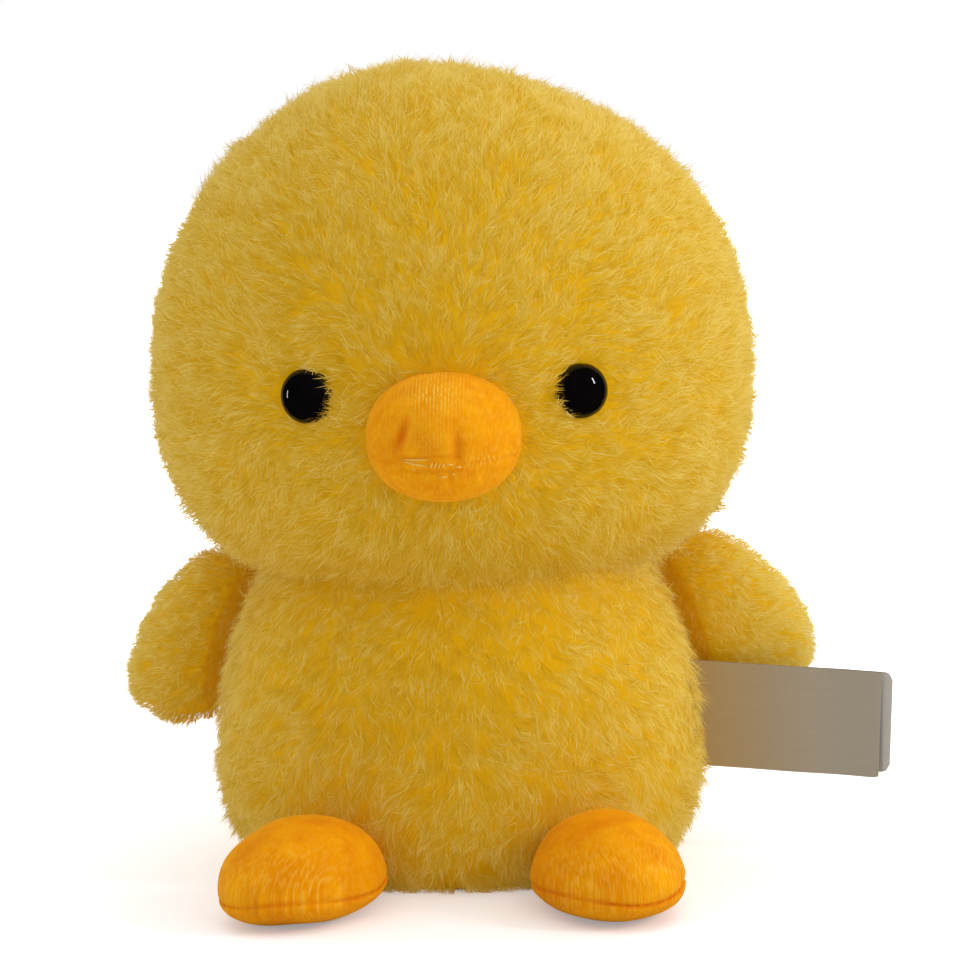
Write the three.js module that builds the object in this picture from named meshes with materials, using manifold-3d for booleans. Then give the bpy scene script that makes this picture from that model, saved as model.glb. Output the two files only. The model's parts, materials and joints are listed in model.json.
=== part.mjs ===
// Plush chick: a sitting soft toy sewn from pile cloth and velour round loose fibre filling.
// Millimetres, +Z up, face towards -Y, origin at the centre of the seat panel's underside.
// Left and right are the toy's own, so left is +X.
import * as THREE from 'three';
import { mergeVertices } from 'three/addons/utils/BufferGeometryUtils.js';
import Module from 'manifold-3d';

const wasm = await Module();
wasm.setup();

// Cloth and the gaps between sewn pieces
const PILE_CLOTH = 6;
const VELOUR = 2;
const SEAM_GAP = 0.3;
const FILL_GAP = 0.4;

// Body: seat edge, belly and the flank up to the neck dome
const SEAT_WIDTH = 112;
const SEAT_DEPTH = 100;
const SEAT_PANEL_THICKNESS = 4;
const BELLY_WIDTH = 146;
const BELLY_DEPTH = 128;
const BELLY_HEIGHT = 34;
const SHOULDER_HEIGHT = 86;
const SIDE_SEAM_Y = -4;

// Neck: a dome that the cupped underside of the head turns and nods on
const NECK_PIVOT_HEIGHT = 58;
const NECK_DOME_RADIUS = 65.5;
const NECK_REST_GAP = 0.7;
const NECK_OPENING_RADIUS = 26;
const NECK_FILL_LENGTH = 24;

// Head: round on top, squarer and flatter below
const HEAD_WIDTH = 177;
const HEAD_DEPTH = 164;
const HEAD_RISE = 90;
const HEAD_DROP = 66;
const HEAD_ABOVE_NECK = 24.5;
const HEAD_CENTRE_Y = -2;
const HEAD_TOP_POWER = 2;
const HEAD_BOTTOM_POWER = 2.7;
const HEAD_SIDE_SEAM_Y = 4;

// Safety eyes: a dome on a stem, held by a washer behind the cloth
const EYE_DIAMETER = 15.5;
const EYE_DOME_HEIGHT = 6.5;
const EYE_RIM_HEIGHT = 1.2;
const EYE_SPACING = 79;
const EYE_BELOW_CENTRE = 1;
const EYE_SINK = 4.5;
const STEM_DIAMETER = 4.6;
const STEM_PAST_WASHER = 3;
const WASHER_DIAMETER = 15;
const WASHER_THICKNESS = 1.6;

// Beak: an oval pillow of a full upper panel and a shallow lower one, meeting at the mouth seam
const BEAK_WIDTH = 43;
const BEAK_LENGTH = 54;
const BEAK_HEIGHT = 35.5;
const BEAK_BELOW_CENTRE = 11.8;
const BEAK_SEAM_LOW = 7.5;
const BEAK_SET_IN = 3.5;
const BEAK_POWER = 2.2;

// Wings: flat pillows sewn to the body's sides along a straight root
const WING_LENGTH = 55;
const WING_BREADTH = 32;
const WING_THICKNESS = 22;
const WING_ROOT_HEIGHT = 66;
const WING_ROOT_BACK = 8;
const WING_ROOT_STANDOFF = 0.6;
const WING_ROOT_ROOM_DEG = 33;
const WING_HEAD_ROOM = 3;
const WING_POSES = {
  left: { side: 1, tiltDeg: 25, out: 16.3, down: 1.8 },
  right: { side: -1, tiltDeg: 10, out: 9.8, down: 1.1 },
};

// Feet: domed tops on shallow soles, turned outwards in front of the body
const FOOT_WIDTH = 42;
const FOOT_LENGTH = 58;
const FOOT_RISE = 19.5;
const FOOT_SEAM_HEIGHT = 8.5;
const FOOT_SOLE_FLAT = 0.5;
const FOOT_REACH = 86;
const FOOT_SPREAD_DEG = 30;
const FOOT_TOP_POWER = 2.2;
const FOOT_SOLE_POWER = 2.8;
const FOOT_POSES = {
  left: { side: 1, turnDeg: 16 },
  right: { side: -1, turnDeg: 32 },
};

// Sewn-in label: two satin leaves in the left side seam
const LABEL_LENGTH = 51.5;
const LABEL_HEIGHT = 31.5;
const LABEL_THICKNESS = 0.5;
const LABEL_LEAF_GAP = 0.6;
const LABEL_CENTRE_HEIGHT = 42;
const LABEL_STANDOFF = 0.8;
const LABEL_FORWARD_DEG = 12;
const LABEL_DROOP_DEG = 2.5;
const LABEL_CORNER = 2.5;
const LABEL_BACK_OVERHANG = 3;
const LABEL_BACK_SHORTER = 1.5;

// Facets of the curved forms
const AROUND_LARGE = 28;
const AROUND_CUP = 40;
const AROUND_SMALL = 18;
const RINGS_LARGE = 7;
const RINGS_SMALL = 5;
const RINGS_SEAT = 4;
const CUTTER_REACH = 400;
const MERGE_TOLERANCE = 1e-4;

// Colours and finishes
const pileCloth = new THREE.MeshStandardMaterial({ color: 0xe3b53c, roughness: 0.95, metalness: 0 });
const velour = new THREE.MeshStandardMaterial({ color: 0xe8960f, roughness: 0.8, metalness: 0 });
const eyePlastic = new THREE.MeshStandardMaterial({ color: 0x0b0807, roughness: 0.08, metalness: 0 });
const washerPlastic = new THREE.MeshStandardMaterial({ color: 0xe9e6dc, roughness: 0.5, metalness: 0 });
const fibreFill = new THREE.MeshStandardMaterial({ color: 0xf2f0ea, roughness: 1, metalness: 0 });
const labelSatin = new THREE.MeshStandardMaterial({ color: 0xd6cdbd, roughness: 0.55, metalness: 0 });

const chick = new THREE.Group();
const SIDES = { left: 1, right: -1 };

// Solids from closed geometry, and named meshes from solids
function solid(geometry) {
  const bare = geometry.clone();
  bare.deleteAttribute('normal');
  bare.deleteAttribute('uv');
  const merged = mergeVertices(bare, MERGE_TOLERANCE);
  const corners = merged.index.array;
  const kept = [];
  for (let i = 0; i < corners.length; i += 3) {
    const [a, b, c] = corners.slice(i, i + 3);
    if (a !== b && b !== c && c !== a) kept.push(a, b, c);
  }
  return new wasm.Manifold(new wasm.Mesh({
    numProp: 3,
    vertProperties: new Float32Array(merged.getAttribute('position').array),
    triVerts: new Uint32Array(kept),
  }));
}

function addMesh(name, geometry, material, group = chick) {
  geometry.computeVertexNormals();
  const mesh = new THREE.Mesh(geometry, material.clone());
  mesh.name = name;
  group.add(mesh);
  return mesh;
}

function addSolid(name, shape, material) {
  const { vertProperties, triVerts } = shape.getMesh();
  const geometry = new THREE.BufferGeometry();
  geometry.setAttribute('position', new THREE.BufferAttribute(vertProperties, 3));
  geometry.setIndex(new THREE.BufferAttribute(triVerts, 1));
  return addMesh(name, geometry, material);
}

// Block between two corners, used to split and trim
function block(low, high) {
  const size = new THREE.Vector3().subVectors(high, low);
  const form = new THREE.BoxGeometry(size.x, size.y, size.z);
  form.translate((low.x + high.x) / 2, (low.y + high.y) / 2, (low.z + high.z) / 2);
  return solid(form);
}

// The half of space on one side of a plane square to an axis
function halfSpace(axis, sign, offset) {
  const low = new THREE.Vector3(-CUTTER_REACH, -CUTTER_REACH, -CUTTER_REACH);
  const high = new THREE.Vector3(CUTTER_REACH, CUTTER_REACH, CUTTER_REACH);
  (sign > 0 ? low : high)[axis] = offset;
  return block(low, high);
}

// One side of a shape cut at a seam, drawn back by half the seam gap
function sideOfSeam(shape, axis, sign, seam) {
  return shape.intersect(halfSpace(axis, sign, seam + sign * SEAM_GAP / 2));
}

// Upright cylinder between two heights
function upright(radius, low, high, around) {
  const form = new THREE.CylinderGeometry(radius, radius, high - low, around);
  form.rotateX(Math.PI / 2);
  form.translate(0, 0, (low + high) / 2);
  return form;
}

// Rod along +X, to be turned to the outward direction of a surface
function outwardRod(radius, low, high) {
  const form = new THREE.CylinderGeometry(radius, radius, high - low, AROUND_SMALL);
  form.rotateZ(-Math.PI / 2);
  form.translate((low + high) / 2, 0, 0);
  return form;
}

// Frame at a point: local X points outwards, local Y follows a direction on the surface
function frameAt(point, outward, along) {
  const x = outward.clone().normalize();
  const z = new THREE.Vector3().crossVectors(x, along).normalize();
  const y = new THREE.Vector3().crossVectors(z, x);
  return new THREE.Matrix4().makeBasis(x, y, z).setPosition(point);
}

// Stuffed form: a swollen profile revolved about Z and drawn out to two half-widths
function pillow(form, inset) {
  const { halfX, halfY, rise, drop, topPower, bottomPower, around, rings } = form;
  const profile = [];
  for (let i = -rings; i <= rings; i += 1) {
    const angle = (i / rings) * Math.PI / 2;
    const exponent = 2 / (i < 0 ? bottomPower : topPower);
    const height = (i < 0 ? drop : rise) - inset;
    const reach = Math.abs(i) === rings ? 0 : Math.cos(angle) ** exponent;
    profile.push(new THREE.Vector2(reach, Math.sign(i) * Math.abs(Math.sin(angle)) ** exponent * height));
  }
  const geometry = new THREE.LatheGeometry(profile, around);
  geometry.rotateX(Math.PI / 2);
  geometry.scale(halfX - inset, halfY - inset, 1);
  return geometry;
}

// Body half-width at a height between belly and shoulder, leaving the belly upright and meeting the dome smoothly
const shoulderRise = SHOULDER_HEIGHT - NECK_PIVOT_HEIGHT;

function flankHalf(bellyHalf, domeRadius, height) {
  const shoulderHalf = Math.sqrt(domeRadius ** 2 - shoulderRise ** 2);
  const span = SHOULDER_HEIGHT - BELLY_HEIGHT;
  const s = (height - BELLY_HEIGHT) / span;
  const endSlope = (-shoulderRise / shoulderHalf) * span;
  const toShoulder = s * s * (3 - 2 * s);
  return bellyHalf + (shoulderHalf - bellyHalf) * toShoulder + endSlope * s * s * (s - 1);
}

// Body form, inset from the outer surface and cut at a floor height; below the seat it runs on straight
function bodyForm(inset, floor) {
  const domeRadius = NECK_DOME_RADIUS - inset;
  const skirt = -BELLY_HEIGHT;
  const rings = [{ x: SEAT_WIDTH / 2 - inset, y: SEAT_DEPTH / 2 - inset, z: skirt }];
  for (let i = 0; i <= RINGS_SEAT; i += 1) {
    const angle = (i / RINGS_SEAT) * Math.PI / 2;
    const swell = Math.sin(angle);
    rings.push({
      x: SEAT_WIDTH / 2 + (BELLY_WIDTH - SEAT_WIDTH) / 2 * swell - inset,
      y: SEAT_DEPTH / 2 + (BELLY_DEPTH - SEAT_DEPTH) / 2 * swell - inset,
      z: BELLY_HEIGHT * (1 - Math.cos(angle)),
    });
  }
  for (let i = 1; i <= RINGS_SMALL; i += 1) {
    const z = BELLY_HEIGHT + (SHOULDER_HEIGHT - BELLY_HEIGHT) * i / RINGS_SMALL;
    rings.push({
      x: flankHalf(BELLY_WIDTH / 2 - inset, domeRadius, z),
      y: flankHalf(BELLY_DEPTH / 2 - inset, domeRadius, z),
      z,
    });
  }
  const shoulderAngle = Math.asin(shoulderRise / domeRadius);
  for (let i = 1; i < RINGS_LARGE; i += 1) {
    const angle = shoulderAngle + (Math.PI / 2 - shoulderAngle) * i / RINGS_LARGE;
    const half = domeRadius * Math.cos(angle);
    rings.push({ x: half, y: half, z: NECK_PIVOT_HEIGHT + domeRadius * Math.sin(angle) });
  }
  const profile = [new THREE.Vector2(0, skirt)];
  rings.forEach((ring) => profile.push(new THREE.Vector2(ring.x, ring.z)));
  profile.push(new THREE.Vector2(0, NECK_PIVOT_HEIGHT + domeRadius));
  const geometry = new THREE.LatheGeometry(profile, AROUND_LARGE);
  geometry.rotateX(Math.PI / 2);
  const position = geometry.getAttribute('position');
  for (let i = 0; i < position.count; i += 1) {
    const ring = rings[(i % profile.length) - 1];
    if (ring) position.setY(i, position.getY(i) * ring.y / ring.x);
  }
  return solid(geometry).intersect(halfSpace('z', 1, floor));
}

// Ball about the neck pivot, fine enough that its flats stay within the rest gap
function neckBall(radius) {
  const form = new THREE.SphereGeometry(radius, AROUND_CUP, AROUND_CUP / 2);
  form.rotateX(Math.PI / 2);
  form.translate(0, 0, NECK_PIVOT_HEIGHT);
  return solid(form);
}

// Head form, inset from the outer surface
const neckTop = NECK_PIVOT_HEIGHT + NECK_DOME_RADIUS;
const headCentreHeight = neckTop + HEAD_ABOVE_NECK;
const headShape = {
  halfX: HEAD_WIDTH / 2,
  halfY: HEAD_DEPTH / 2,
  rise: HEAD_RISE,
  drop: HEAD_DROP,
  topPower: HEAD_TOP_POWER,
  bottomPower: HEAD_BOTTOM_POWER,
  around: AROUND_LARGE,
  rings: RINGS_LARGE,
};

function headForm(inset) {
  const form = pillow(headShape, inset);
  form.translate(0, HEAD_CENTRE_Y, headCentreHeight);
  return solid(form);
}

// Share of the head's full half-width that is left at a height
function headShare(height) {
  const above = height - headCentreHeight;
  const power = above < 0 ? HEAD_BOTTOM_POWER : HEAD_TOP_POWER;
  const reach = above < 0 ? HEAD_DROP : HEAD_RISE;
  return (1 - Math.abs(above / reach) ** power) ** (1 / power);
}

// Point on the face at a place seen from the front, with the outward direction there
function facePoint(x, z) {
  const share = headShare(z);
  const y = HEAD_CENTRE_Y - (HEAD_DEPTH / 2) * Math.sqrt(share ** 2 - (2 * x / HEAD_WIDTH) ** 2);
  const nudge = 0.01;
  const slope = (headShare(z + nudge) - headShare(z - nudge)) / (2 * nudge);
  const outward = new THREE.Vector3(
    x / (HEAD_WIDTH / 2) ** 2,
    (y - HEAD_CENTRE_Y) / (HEAD_DEPTH / 2) ** 2,
    -share * slope,
  );
  return { point: new THREE.Vector3(x, y, z), outward: outward.normalize() };
}

// Eyes and their washers, along an axis that leaves the cloth squarely
const eyeRadius = EYE_DIAMETER / 2;
const stemRadius = STEM_DIAMETER / 2;
const washerRadius = WASHER_DIAMETER / 2;
const washerTop = -PILE_CLOTH - SEAM_GAP;
const washerBottom = washerTop - WASHER_THICKNESS;
const stemEnd = washerBottom - STEM_PAST_WASHER;
const UP = new THREE.Vector3(0, 0, 1);

function eyeForm() {
  const profile = [
    new THREE.Vector2(0, stemEnd),
    new THREE.Vector2(stemRadius, stemEnd),
    new THREE.Vector2(stemRadius, -EYE_SINK),
    new THREE.Vector2(eyeRadius, -EYE_SINK),
  ];
  for (let i = 0; i < RINGS_SMALL; i += 1) {
    const angle = (i / RINGS_SMALL) * Math.PI / 2;
    const height = EYE_RIM_HEIGHT + (EYE_DOME_HEIGHT - EYE_RIM_HEIGHT) * Math.sin(angle);
    profile.push(new THREE.Vector2(eyeRadius * Math.cos(angle), height - EYE_SINK));
  }
  profile.push(new THREE.Vector2(0, EYE_DOME_HEIGHT - EYE_SINK));
  return new THREE.LatheGeometry(profile, AROUND_SMALL).rotateZ(-Math.PI / 2);
}

function washerForm() {
  const hole = stemRadius + SEAM_GAP;
  const profile = [
    new THREE.Vector2(hole, washerBottom),
    new THREE.Vector2(washerRadius, washerBottom),
    new THREE.Vector2(washerRadius, washerTop),
    new THREE.Vector2(hole, washerTop),
    new THREE.Vector2(hole, washerBottom),
  ];
  return new THREE.LatheGeometry(profile, AROUND_SMALL).rotateZ(-Math.PI / 2);
}

function makeEyes() {
  const cuts = { cloth: [], filling: [] };
  for (const [name, side] of Object.entries(SIDES)) {
    const { point, outward } = facePoint(side * EYE_SPACING / 2, headCentreHeight - EYE_BELOW_CENTRE);
    const frame = frameAt(point, outward, UP);
    addSolid(`eye_${name}`, solid(eyeForm().applyMatrix4(frame)), eyePlastic);
    addSolid(`eye_washer_${name}`, solid(washerForm().applyMatrix4(frame)), washerPlastic);
    const seat = outwardRod(eyeRadius + SEAM_GAP, -EYE_SINK - SEAM_GAP, EYE_DIAMETER);
    const stemHole = outwardRod(stemRadius + SEAM_GAP, stemEnd - PILE_CLOTH, 0);
    const washerSeat = outwardRod(washerRadius + SEAM_GAP, stemEnd - PILE_CLOTH, -PILE_CLOTH);
    const pocket = outwardRod(washerRadius + FILL_GAP, stemEnd - FILL_GAP, 0);
    cuts.cloth.push(...[seat, stemHole, washerSeat].map((cut) => solid(cut.applyMatrix4(frame))));
    cuts.filling.push(solid(pocket.applyMatrix4(frame)));
  }
  return cuts;
}

// Head cover in four panels, cupped underneath round the neck dome, and its filling
function makeHead(eyeCuts) {
  const cupRadius = NECK_DOME_RADIUS + NECK_REST_GAP;
  const cavity = headForm(PILE_CLOTH).subtract(neckBall(cupRadius + PILE_CLOTH));
  const neckHole = solid(upright(NECK_OPENING_RADIUS, NECK_PIVOT_HEIGHT, headCentreHeight, AROUND_LARGE));
  let cover = headForm(0).subtract(neckBall(cupRadius)).subtract(cavity).subtract(neckHole);
  eyeCuts.cloth.forEach((cut) => { cover = cover.subtract(cut); });
  for (const [name, side] of Object.entries(SIDES)) {
    const half = sideOfSeam(cover, 'x', side, 0);
    addSolid(`head_front_panel_${name}`, sideOfSeam(half, 'y', -1, HEAD_SIDE_SEAM_Y), pileCloth);
    addSolid(`head_back_panel_${name}`, sideOfSeam(half, 'y', 1, HEAD_SIDE_SEAM_Y), pileCloth);
  }
  const columnRadius = NECK_OPENING_RADIUS - FILL_GAP;
  const column = solid(upright(columnRadius, NECK_PIVOT_HEIGHT, headCentreHeight, AROUND_LARGE));
  let filling = headForm(PILE_CLOTH + FILL_GAP).subtract(neckBall(cupRadius + PILE_CLOTH + FILL_GAP));
  filling = filling.add(column.subtract(neckBall(cupRadius)));
  eyeCuts.filling.forEach((cut) => { filling = filling.subtract(cut); });
  addSolid('head_stuffing', filling, fibreFill);
}

// Beak: two velour panels round a filling, sewn to the face
function makeBeak() {
  const face = facePoint(0, headCentreHeight - BEAK_BELOW_CENTRE).point;
  const shape = {
    halfX: BEAK_WIDTH / 2,
    halfY: BEAK_LENGTH / 2,
    rise: BEAK_HEIGHT / 2,
    drop: BEAK_HEIGHT / 2,
    topPower: BEAK_POWER,
    bottomPower: BEAK_POWER,
    around: AROUND_SMALL,
    rings: RINGS_SMALL,
  };
  const headSkin = headForm(-SEAM_GAP);
  const inPlace = (inset) => solid(pillow(shape, inset).translate(0, face.y + BEAK_SET_IN, face.z));
  const cover = inPlace(0).subtract(inPlace(VELOUR)).subtract(headSkin);
  const seam = face.z - BEAK_SEAM_LOW;
  addSolid('beak_upper_panel', sideOfSeam(cover, 'z', 1, seam), velour);
  addSolid('beak_lower_panel', sideOfSeam(cover, 'z', -1, seam), velour);
  addSolid('beak_stuffing', inPlace(VELOUR + FILL_GAP).subtract(headSkin), fibreFill);
}

// Body cover in four panels open at seat and neck, the seat panel, and the filling
function makeBody() {
  const openBottom = bodyForm(PILE_CLOTH, -SEAT_PANEL_THICKNESS);
  const neckHole = solid(upright(NECK_OPENING_RADIUS, NECK_PIVOT_HEIGHT, neckTop + PILE_CLOTH, AROUND_LARGE));
  const cover = bodyForm(0, 0).subtract(openBottom).subtract(neckHole);
  for (const [name, side] of Object.entries(SIDES)) {
    const half = sideOfSeam(cover, 'x', side, 0);
    addSolid(`body_front_panel_${name}`, sideOfSeam(half, 'y', -1, SIDE_SEAM_Y), pileCloth);
    addSolid(`body_back_panel_${name}`, sideOfSeam(half, 'y', 1, SIDE_SEAM_Y), pileCloth);
  }
  const seat = upright(1, 0, SEAT_PANEL_THICKNESS, AROUND_LARGE);
  seat.scale(SEAT_WIDTH / 2 - PILE_CLOTH - SEAM_GAP, SEAT_DEPTH / 2 - PILE_CLOTH - SEAM_GAP, 1);
  addSolid('body_base_panel', solid(seat), pileCloth);

  const plugRadius = NECK_OPENING_RADIUS - SEAM_GAP;
  const plugFoot = neckTop - NECK_FILL_LENGTH;
  const plug = solid(upright(plugRadius, plugFoot, neckTop + PILE_CLOTH, AROUND_LARGE));
  addSolid('neck_stuffing', plug.intersect(neckBall(NECK_DOME_RADIUS)), fibreFill);
  const pocket = solid(upright(plugRadius + FILL_GAP, plugFoot - FILL_GAP, neckTop, AROUND_LARGE));
  const filling = bodyForm(PILE_CLOTH + FILL_GAP, SEAT_PANEL_THICKNESS + FILL_GAP).subtract(pocket);
  addSolid('body_stuffing', filling, fibreFill);
}

// Place of a wing's root: a line that touches the body's side, with the outward direction there
function wingRoot(side) {
  const nudge = 0.01;
  const halves = (z) => ({
    x: flankHalf(BELLY_WIDTH / 2, NECK_DOME_RADIUS, z),
    y: flankHalf(BELLY_DEPTH / 2, NECK_DOME_RADIUS, z),
  });
  const here = halves(WING_ROOT_HEIGHT);
  const sine = WING_ROOT_BACK / here.y;
  const cosine = Math.sqrt(1 - sine ** 2);
  const onSide = (z) => {
    const half = halves(z);
    return new THREE.Vector3(side * half.x * cosine, half.y * sine, z);
  };
  const point = onSide(WING_ROOT_HEIGHT);
  const down = onSide(WING_ROOT_HEIGHT - nudge).sub(onSide(WING_ROOT_HEIGHT + nudge)).normalize();
  const round = new THREE.Vector3(-side * here.x * sine, here.y * cosine, 0);
  const outward = new THREE.Vector3().crossVectors(down, round).multiplyScalar(side);
  return frameAt(point, outward, down);
}

// Wing: front and back panels round a filling, pinched to a thin edge along the root
function makeWing(name, { side, tiltDeg, out, down }) {
  const shape = {
    halfX: WING_BREADTH / 2,
    halfY: WING_LENGTH / 2,
    rise: WING_THICKNESS / 2,
    drop: WING_THICKNESS / 2,
    topPower: 2,
    bottomPower: 2,
    around: AROUND_SMALL,
    rings: RINGS_SMALL,
  };
  const root = wingRoot(side);
  const tilt = THREE.MathUtils.degToRad(tiltDeg);
  const lay = (form) => form.rotateZ(-tilt).translate(out, down, 0).applyMatrix4(root);

  const flare = 1 / Math.tan(THREE.MathUtils.degToRad(WING_ROOT_ROOM_DEG));
  const far = WING_LENGTH + out;
  const wedge = new THREE.Shape();
  wedge.moveTo(WING_ROOT_STANDOFF, -WING_ROOT_STANDOFF * flare);
  wedge.lineTo(far, -far * flare);
  wedge.lineTo(far, far * flare);
  wedge.lineTo(WING_ROOT_STANDOFF, WING_ROOT_STANDOFF * flare);
  wedge.closePath();
  const room = new THREE.ExtrudeGeometry(wedge, { depth: 2 * CUTTER_REACH, bevelEnabled: false });
  room.translate(0, 0, -CUTTER_REACH).rotateX(-Math.PI / 2).applyMatrix4(root);

  const trim = (form) => solid(form).intersect(solid(room)).subtract(headForm(-WING_HEAD_ROOM));
  const cover = trim(lay(pillow(shape, 0))).subtract(solid(lay(pillow(shape, PILE_CLOTH))));
  const half = (sign) => {
    const slab = new THREE.BoxGeometry(CUTTER_REACH, CUTTER_REACH, CUTTER_REACH);
    slab.translate(0, 0, sign * (CUTTER_REACH + SEAM_GAP) / 2).applyMatrix4(root);
    return cover.intersect(solid(slab));
  };
  addSolid(`wing_${name}_front_panel`, half(-side), pileCloth);
  addSolid(`wing_${name}_back_panel`, half(side), pileCloth);
  addSolid(`wing_${name}_stuffing`, trim(lay(pillow(shape, PILE_CLOTH + FILL_GAP))), fibreFill);
}

// Foot: domed top and shallow sole round a filling, sewn to the front of the body
function makeFoot(name, { side, turnDeg }) {
  const spread = THREE.MathUtils.degToRad(FOOT_SPREAD_DEG);
  const place = new THREE.Vector3(side * Math.sin(spread), -Math.cos(spread), 0).multiplyScalar(FOOT_REACH);
  const turn = side * THREE.MathUtils.degToRad(turnDeg);
  const shape = {
    halfX: FOOT_WIDTH / 2,
    halfY: FOOT_LENGTH / 2,
    rise: FOOT_RISE,
    drop: FOOT_SEAM_HEIGHT + FOOT_SOLE_FLAT,
    topPower: FOOT_TOP_POWER,
    bottomPower: FOOT_SOLE_POWER,
    around: AROUND_SMALL,
    rings: RINGS_SMALL,
  };
  const bodySkin = bodyForm(-SEAM_GAP, -FOOT_SEAM_HEIGHT);
  const floor = halfSpace('z', 1, 0);
  const lay = (inset) => {
    const form = pillow(shape, inset).rotateZ(turn).translate(place.x, place.y, FOOT_SEAM_HEIGHT);
    return solid(form);
  };
  const trim = (shaped) => shaped.subtract(bodySkin).intersect(floor);
  const cover = trim(lay(0)).subtract(lay(VELOUR));
  addSolid(`foot_${name}_top_panel`, sideOfSeam(cover, 'z', 1, FOOT_SEAM_HEIGHT), velour);
  addSolid(`foot_${name}_sole_panel`, sideOfSeam(cover, 'z', -1, FOOT_SEAM_HEIGHT), velour);
  addSolid(`foot_${name}_stuffing`, trim(lay(VELOUR + FILL_GAP)), fibreFill);
}

// Label leaf: a satin rectangle with its outer corners eased, drawn in the label's own plane
function leafForm(length, top, bottom) {
  const leaf = new THREE.Shape();
  leaf.moveTo(0, bottom);
  leaf.lineTo(length - LABEL_CORNER, bottom);
  leaf.quadraticCurveTo(length, bottom, length, bottom + LABEL_CORNER);
  leaf.lineTo(length, top - LABEL_CORNER);
  leaf.quadraticCurveTo(length, top, length - LABEL_CORNER, top);
  leaf.lineTo(0, top);
  leaf.closePath();
  const form = new THREE.ExtrudeGeometry(leaf, { depth: LABEL_THICKNESS, bevelEnabled: false, curveSegments: 3 });
  return form.rotateX(Math.PI / 2);
}

function makeLabel() {
  const label = new THREE.Group();
  label.position.set(BELLY_WIDTH / 2 + LABEL_STANDOFF, SIDE_SEAM_Y, LABEL_CENTRE_HEIGHT);
  label.rotation.order = 'ZYX';
  label.rotation.y = THREE.MathUtils.degToRad(LABEL_DROOP_DEG);
  label.rotation.z = -THREE.MathUtils.degToRad(LABEL_FORWARD_DEG);
  chick.add(label);
  const half = LABEL_HEIGHT / 2;
  const front = addMesh('label_front_leaf', leafForm(LABEL_LENGTH, half, -half), labelSatin, label);
  front.position.y = -LABEL_LEAF_GAP / 2;
  const backForm = leafForm(LABEL_LENGTH + LABEL_BACK_OVERHANG, half, LABEL_BACK_SHORTER - half);
  const back = addMesh('label_back_leaf', backForm, labelSatin, label);
  back.position.y = LABEL_LEAF_GAP / 2 + LABEL_THICKNESS;
}

makeHead(makeEyes());
makeBeak();
makeBody();
Object.entries(WING_POSES).forEach(([name, pose]) => makeWing(name, pose));
Object.entries(FOOT_POSES).forEach(([name, pose]) => makeFoot(name, pose));
makeLabel();

export default chick;
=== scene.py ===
"""Looks of a sitting plush chick: pile over stuffed covers, velour beak and feet, glossy eyes, satin label.

Metres, +Z up, face towards -Y. Left and right are the toy's own, so left is +X.
"""
import json
import math

import bpy
import numpy as np
from mathutils import Matrix, Vector


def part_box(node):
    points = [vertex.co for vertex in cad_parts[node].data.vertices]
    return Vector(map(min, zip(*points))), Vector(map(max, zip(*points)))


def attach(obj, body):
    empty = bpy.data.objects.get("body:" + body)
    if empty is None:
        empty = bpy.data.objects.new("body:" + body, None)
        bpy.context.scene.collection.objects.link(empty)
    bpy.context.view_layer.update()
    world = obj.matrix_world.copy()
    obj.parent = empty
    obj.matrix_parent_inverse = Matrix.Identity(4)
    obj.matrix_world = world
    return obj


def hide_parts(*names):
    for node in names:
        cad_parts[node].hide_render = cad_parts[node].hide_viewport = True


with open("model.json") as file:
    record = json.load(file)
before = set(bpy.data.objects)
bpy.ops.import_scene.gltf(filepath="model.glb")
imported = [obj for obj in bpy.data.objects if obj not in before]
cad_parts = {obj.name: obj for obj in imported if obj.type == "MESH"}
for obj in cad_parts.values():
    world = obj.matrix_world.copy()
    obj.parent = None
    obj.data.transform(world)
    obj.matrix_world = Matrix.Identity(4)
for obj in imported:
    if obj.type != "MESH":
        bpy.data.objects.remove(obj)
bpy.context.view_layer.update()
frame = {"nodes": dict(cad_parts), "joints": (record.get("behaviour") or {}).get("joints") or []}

# Sides and faces, with their directions along X and Y
SIDES = {"left": 1, "right": -1}
FACES = {"front": -1, "back": 1}

# Head, lengths in metres
HEAD_RISE = 0.090
HEAD_DROP = 0.066
HEAD_POWERS = (2.0, 2.7)
HEAD_SIDE_SEAM_Y = 0.004
HEAD_LOWEST = -0.80
CROWN_FLAT = (0.032, 0.004, 0.083)
CENTRE_SEAM_DIP, CROWN_DIP, SOCKET_DIP = (0.0012, 0.009), (0.0042, 0.032), (0.0010, 0.013)
NECK_DOME_RADIUS = 0.0655
NECK_REST_GAP = 0.0007
CUP_SHARE = 0.4

# Eyes, metres
EYE_RADIUS = 0.00775
EYE_DOME = 0.0065
EYE_RIM = 0.0012
EYE_SINK = 0.0045
EYE_EASE = 0.0002
EYE_SPACING = 0.079
EYE_BELOW_CENTRE = 0.001
STEM_RADIUS = 0.0023
STEM_END = -0.0109

# Body, lengths in metres
SEAT_HALF = (0.056, 0.050)
BELLY_HALF = (0.073, 0.064)
BELLY_HEIGHT = 0.034
SHOULDER_HEIGHT = 0.086
SIDE_SEAM_Y = -0.004
BODY_HIGHEST = 0.93
BODY_PILE_TOP = 0.099
SEAT_FILLING_HEIGHT = 0.0055
FLOOR_GAP = 0.0004

# Wings, lengths in metres
WING_HALF = (0.016, 0.0275, 0.011)
WING_ROOT_TUCK = 0.0036
WING_INSET = 0.0016
WING_LINING = 0.0026
WING_FILLING = 0.0032
WING_ROOT_ROOM = 0.0012
WING_ROOT_ROOM_DEG = 33
WING_OUT = {"left": 0.0163, "right": 0.0102}
WING_DOWN = {"left": 0.0018, "right": 0.0011}
WING_TILT_DEG = {"left": 25, "right": 18}
WING_BREADTHS = {"left": (1.6, 1.12), "right": (1.5, 1.04)}
WING_LENGTHS = {"left": (1.22, 1.0), "right": (1.0, 1.12)}
WING_PILE_SHARE = 0.66

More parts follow.
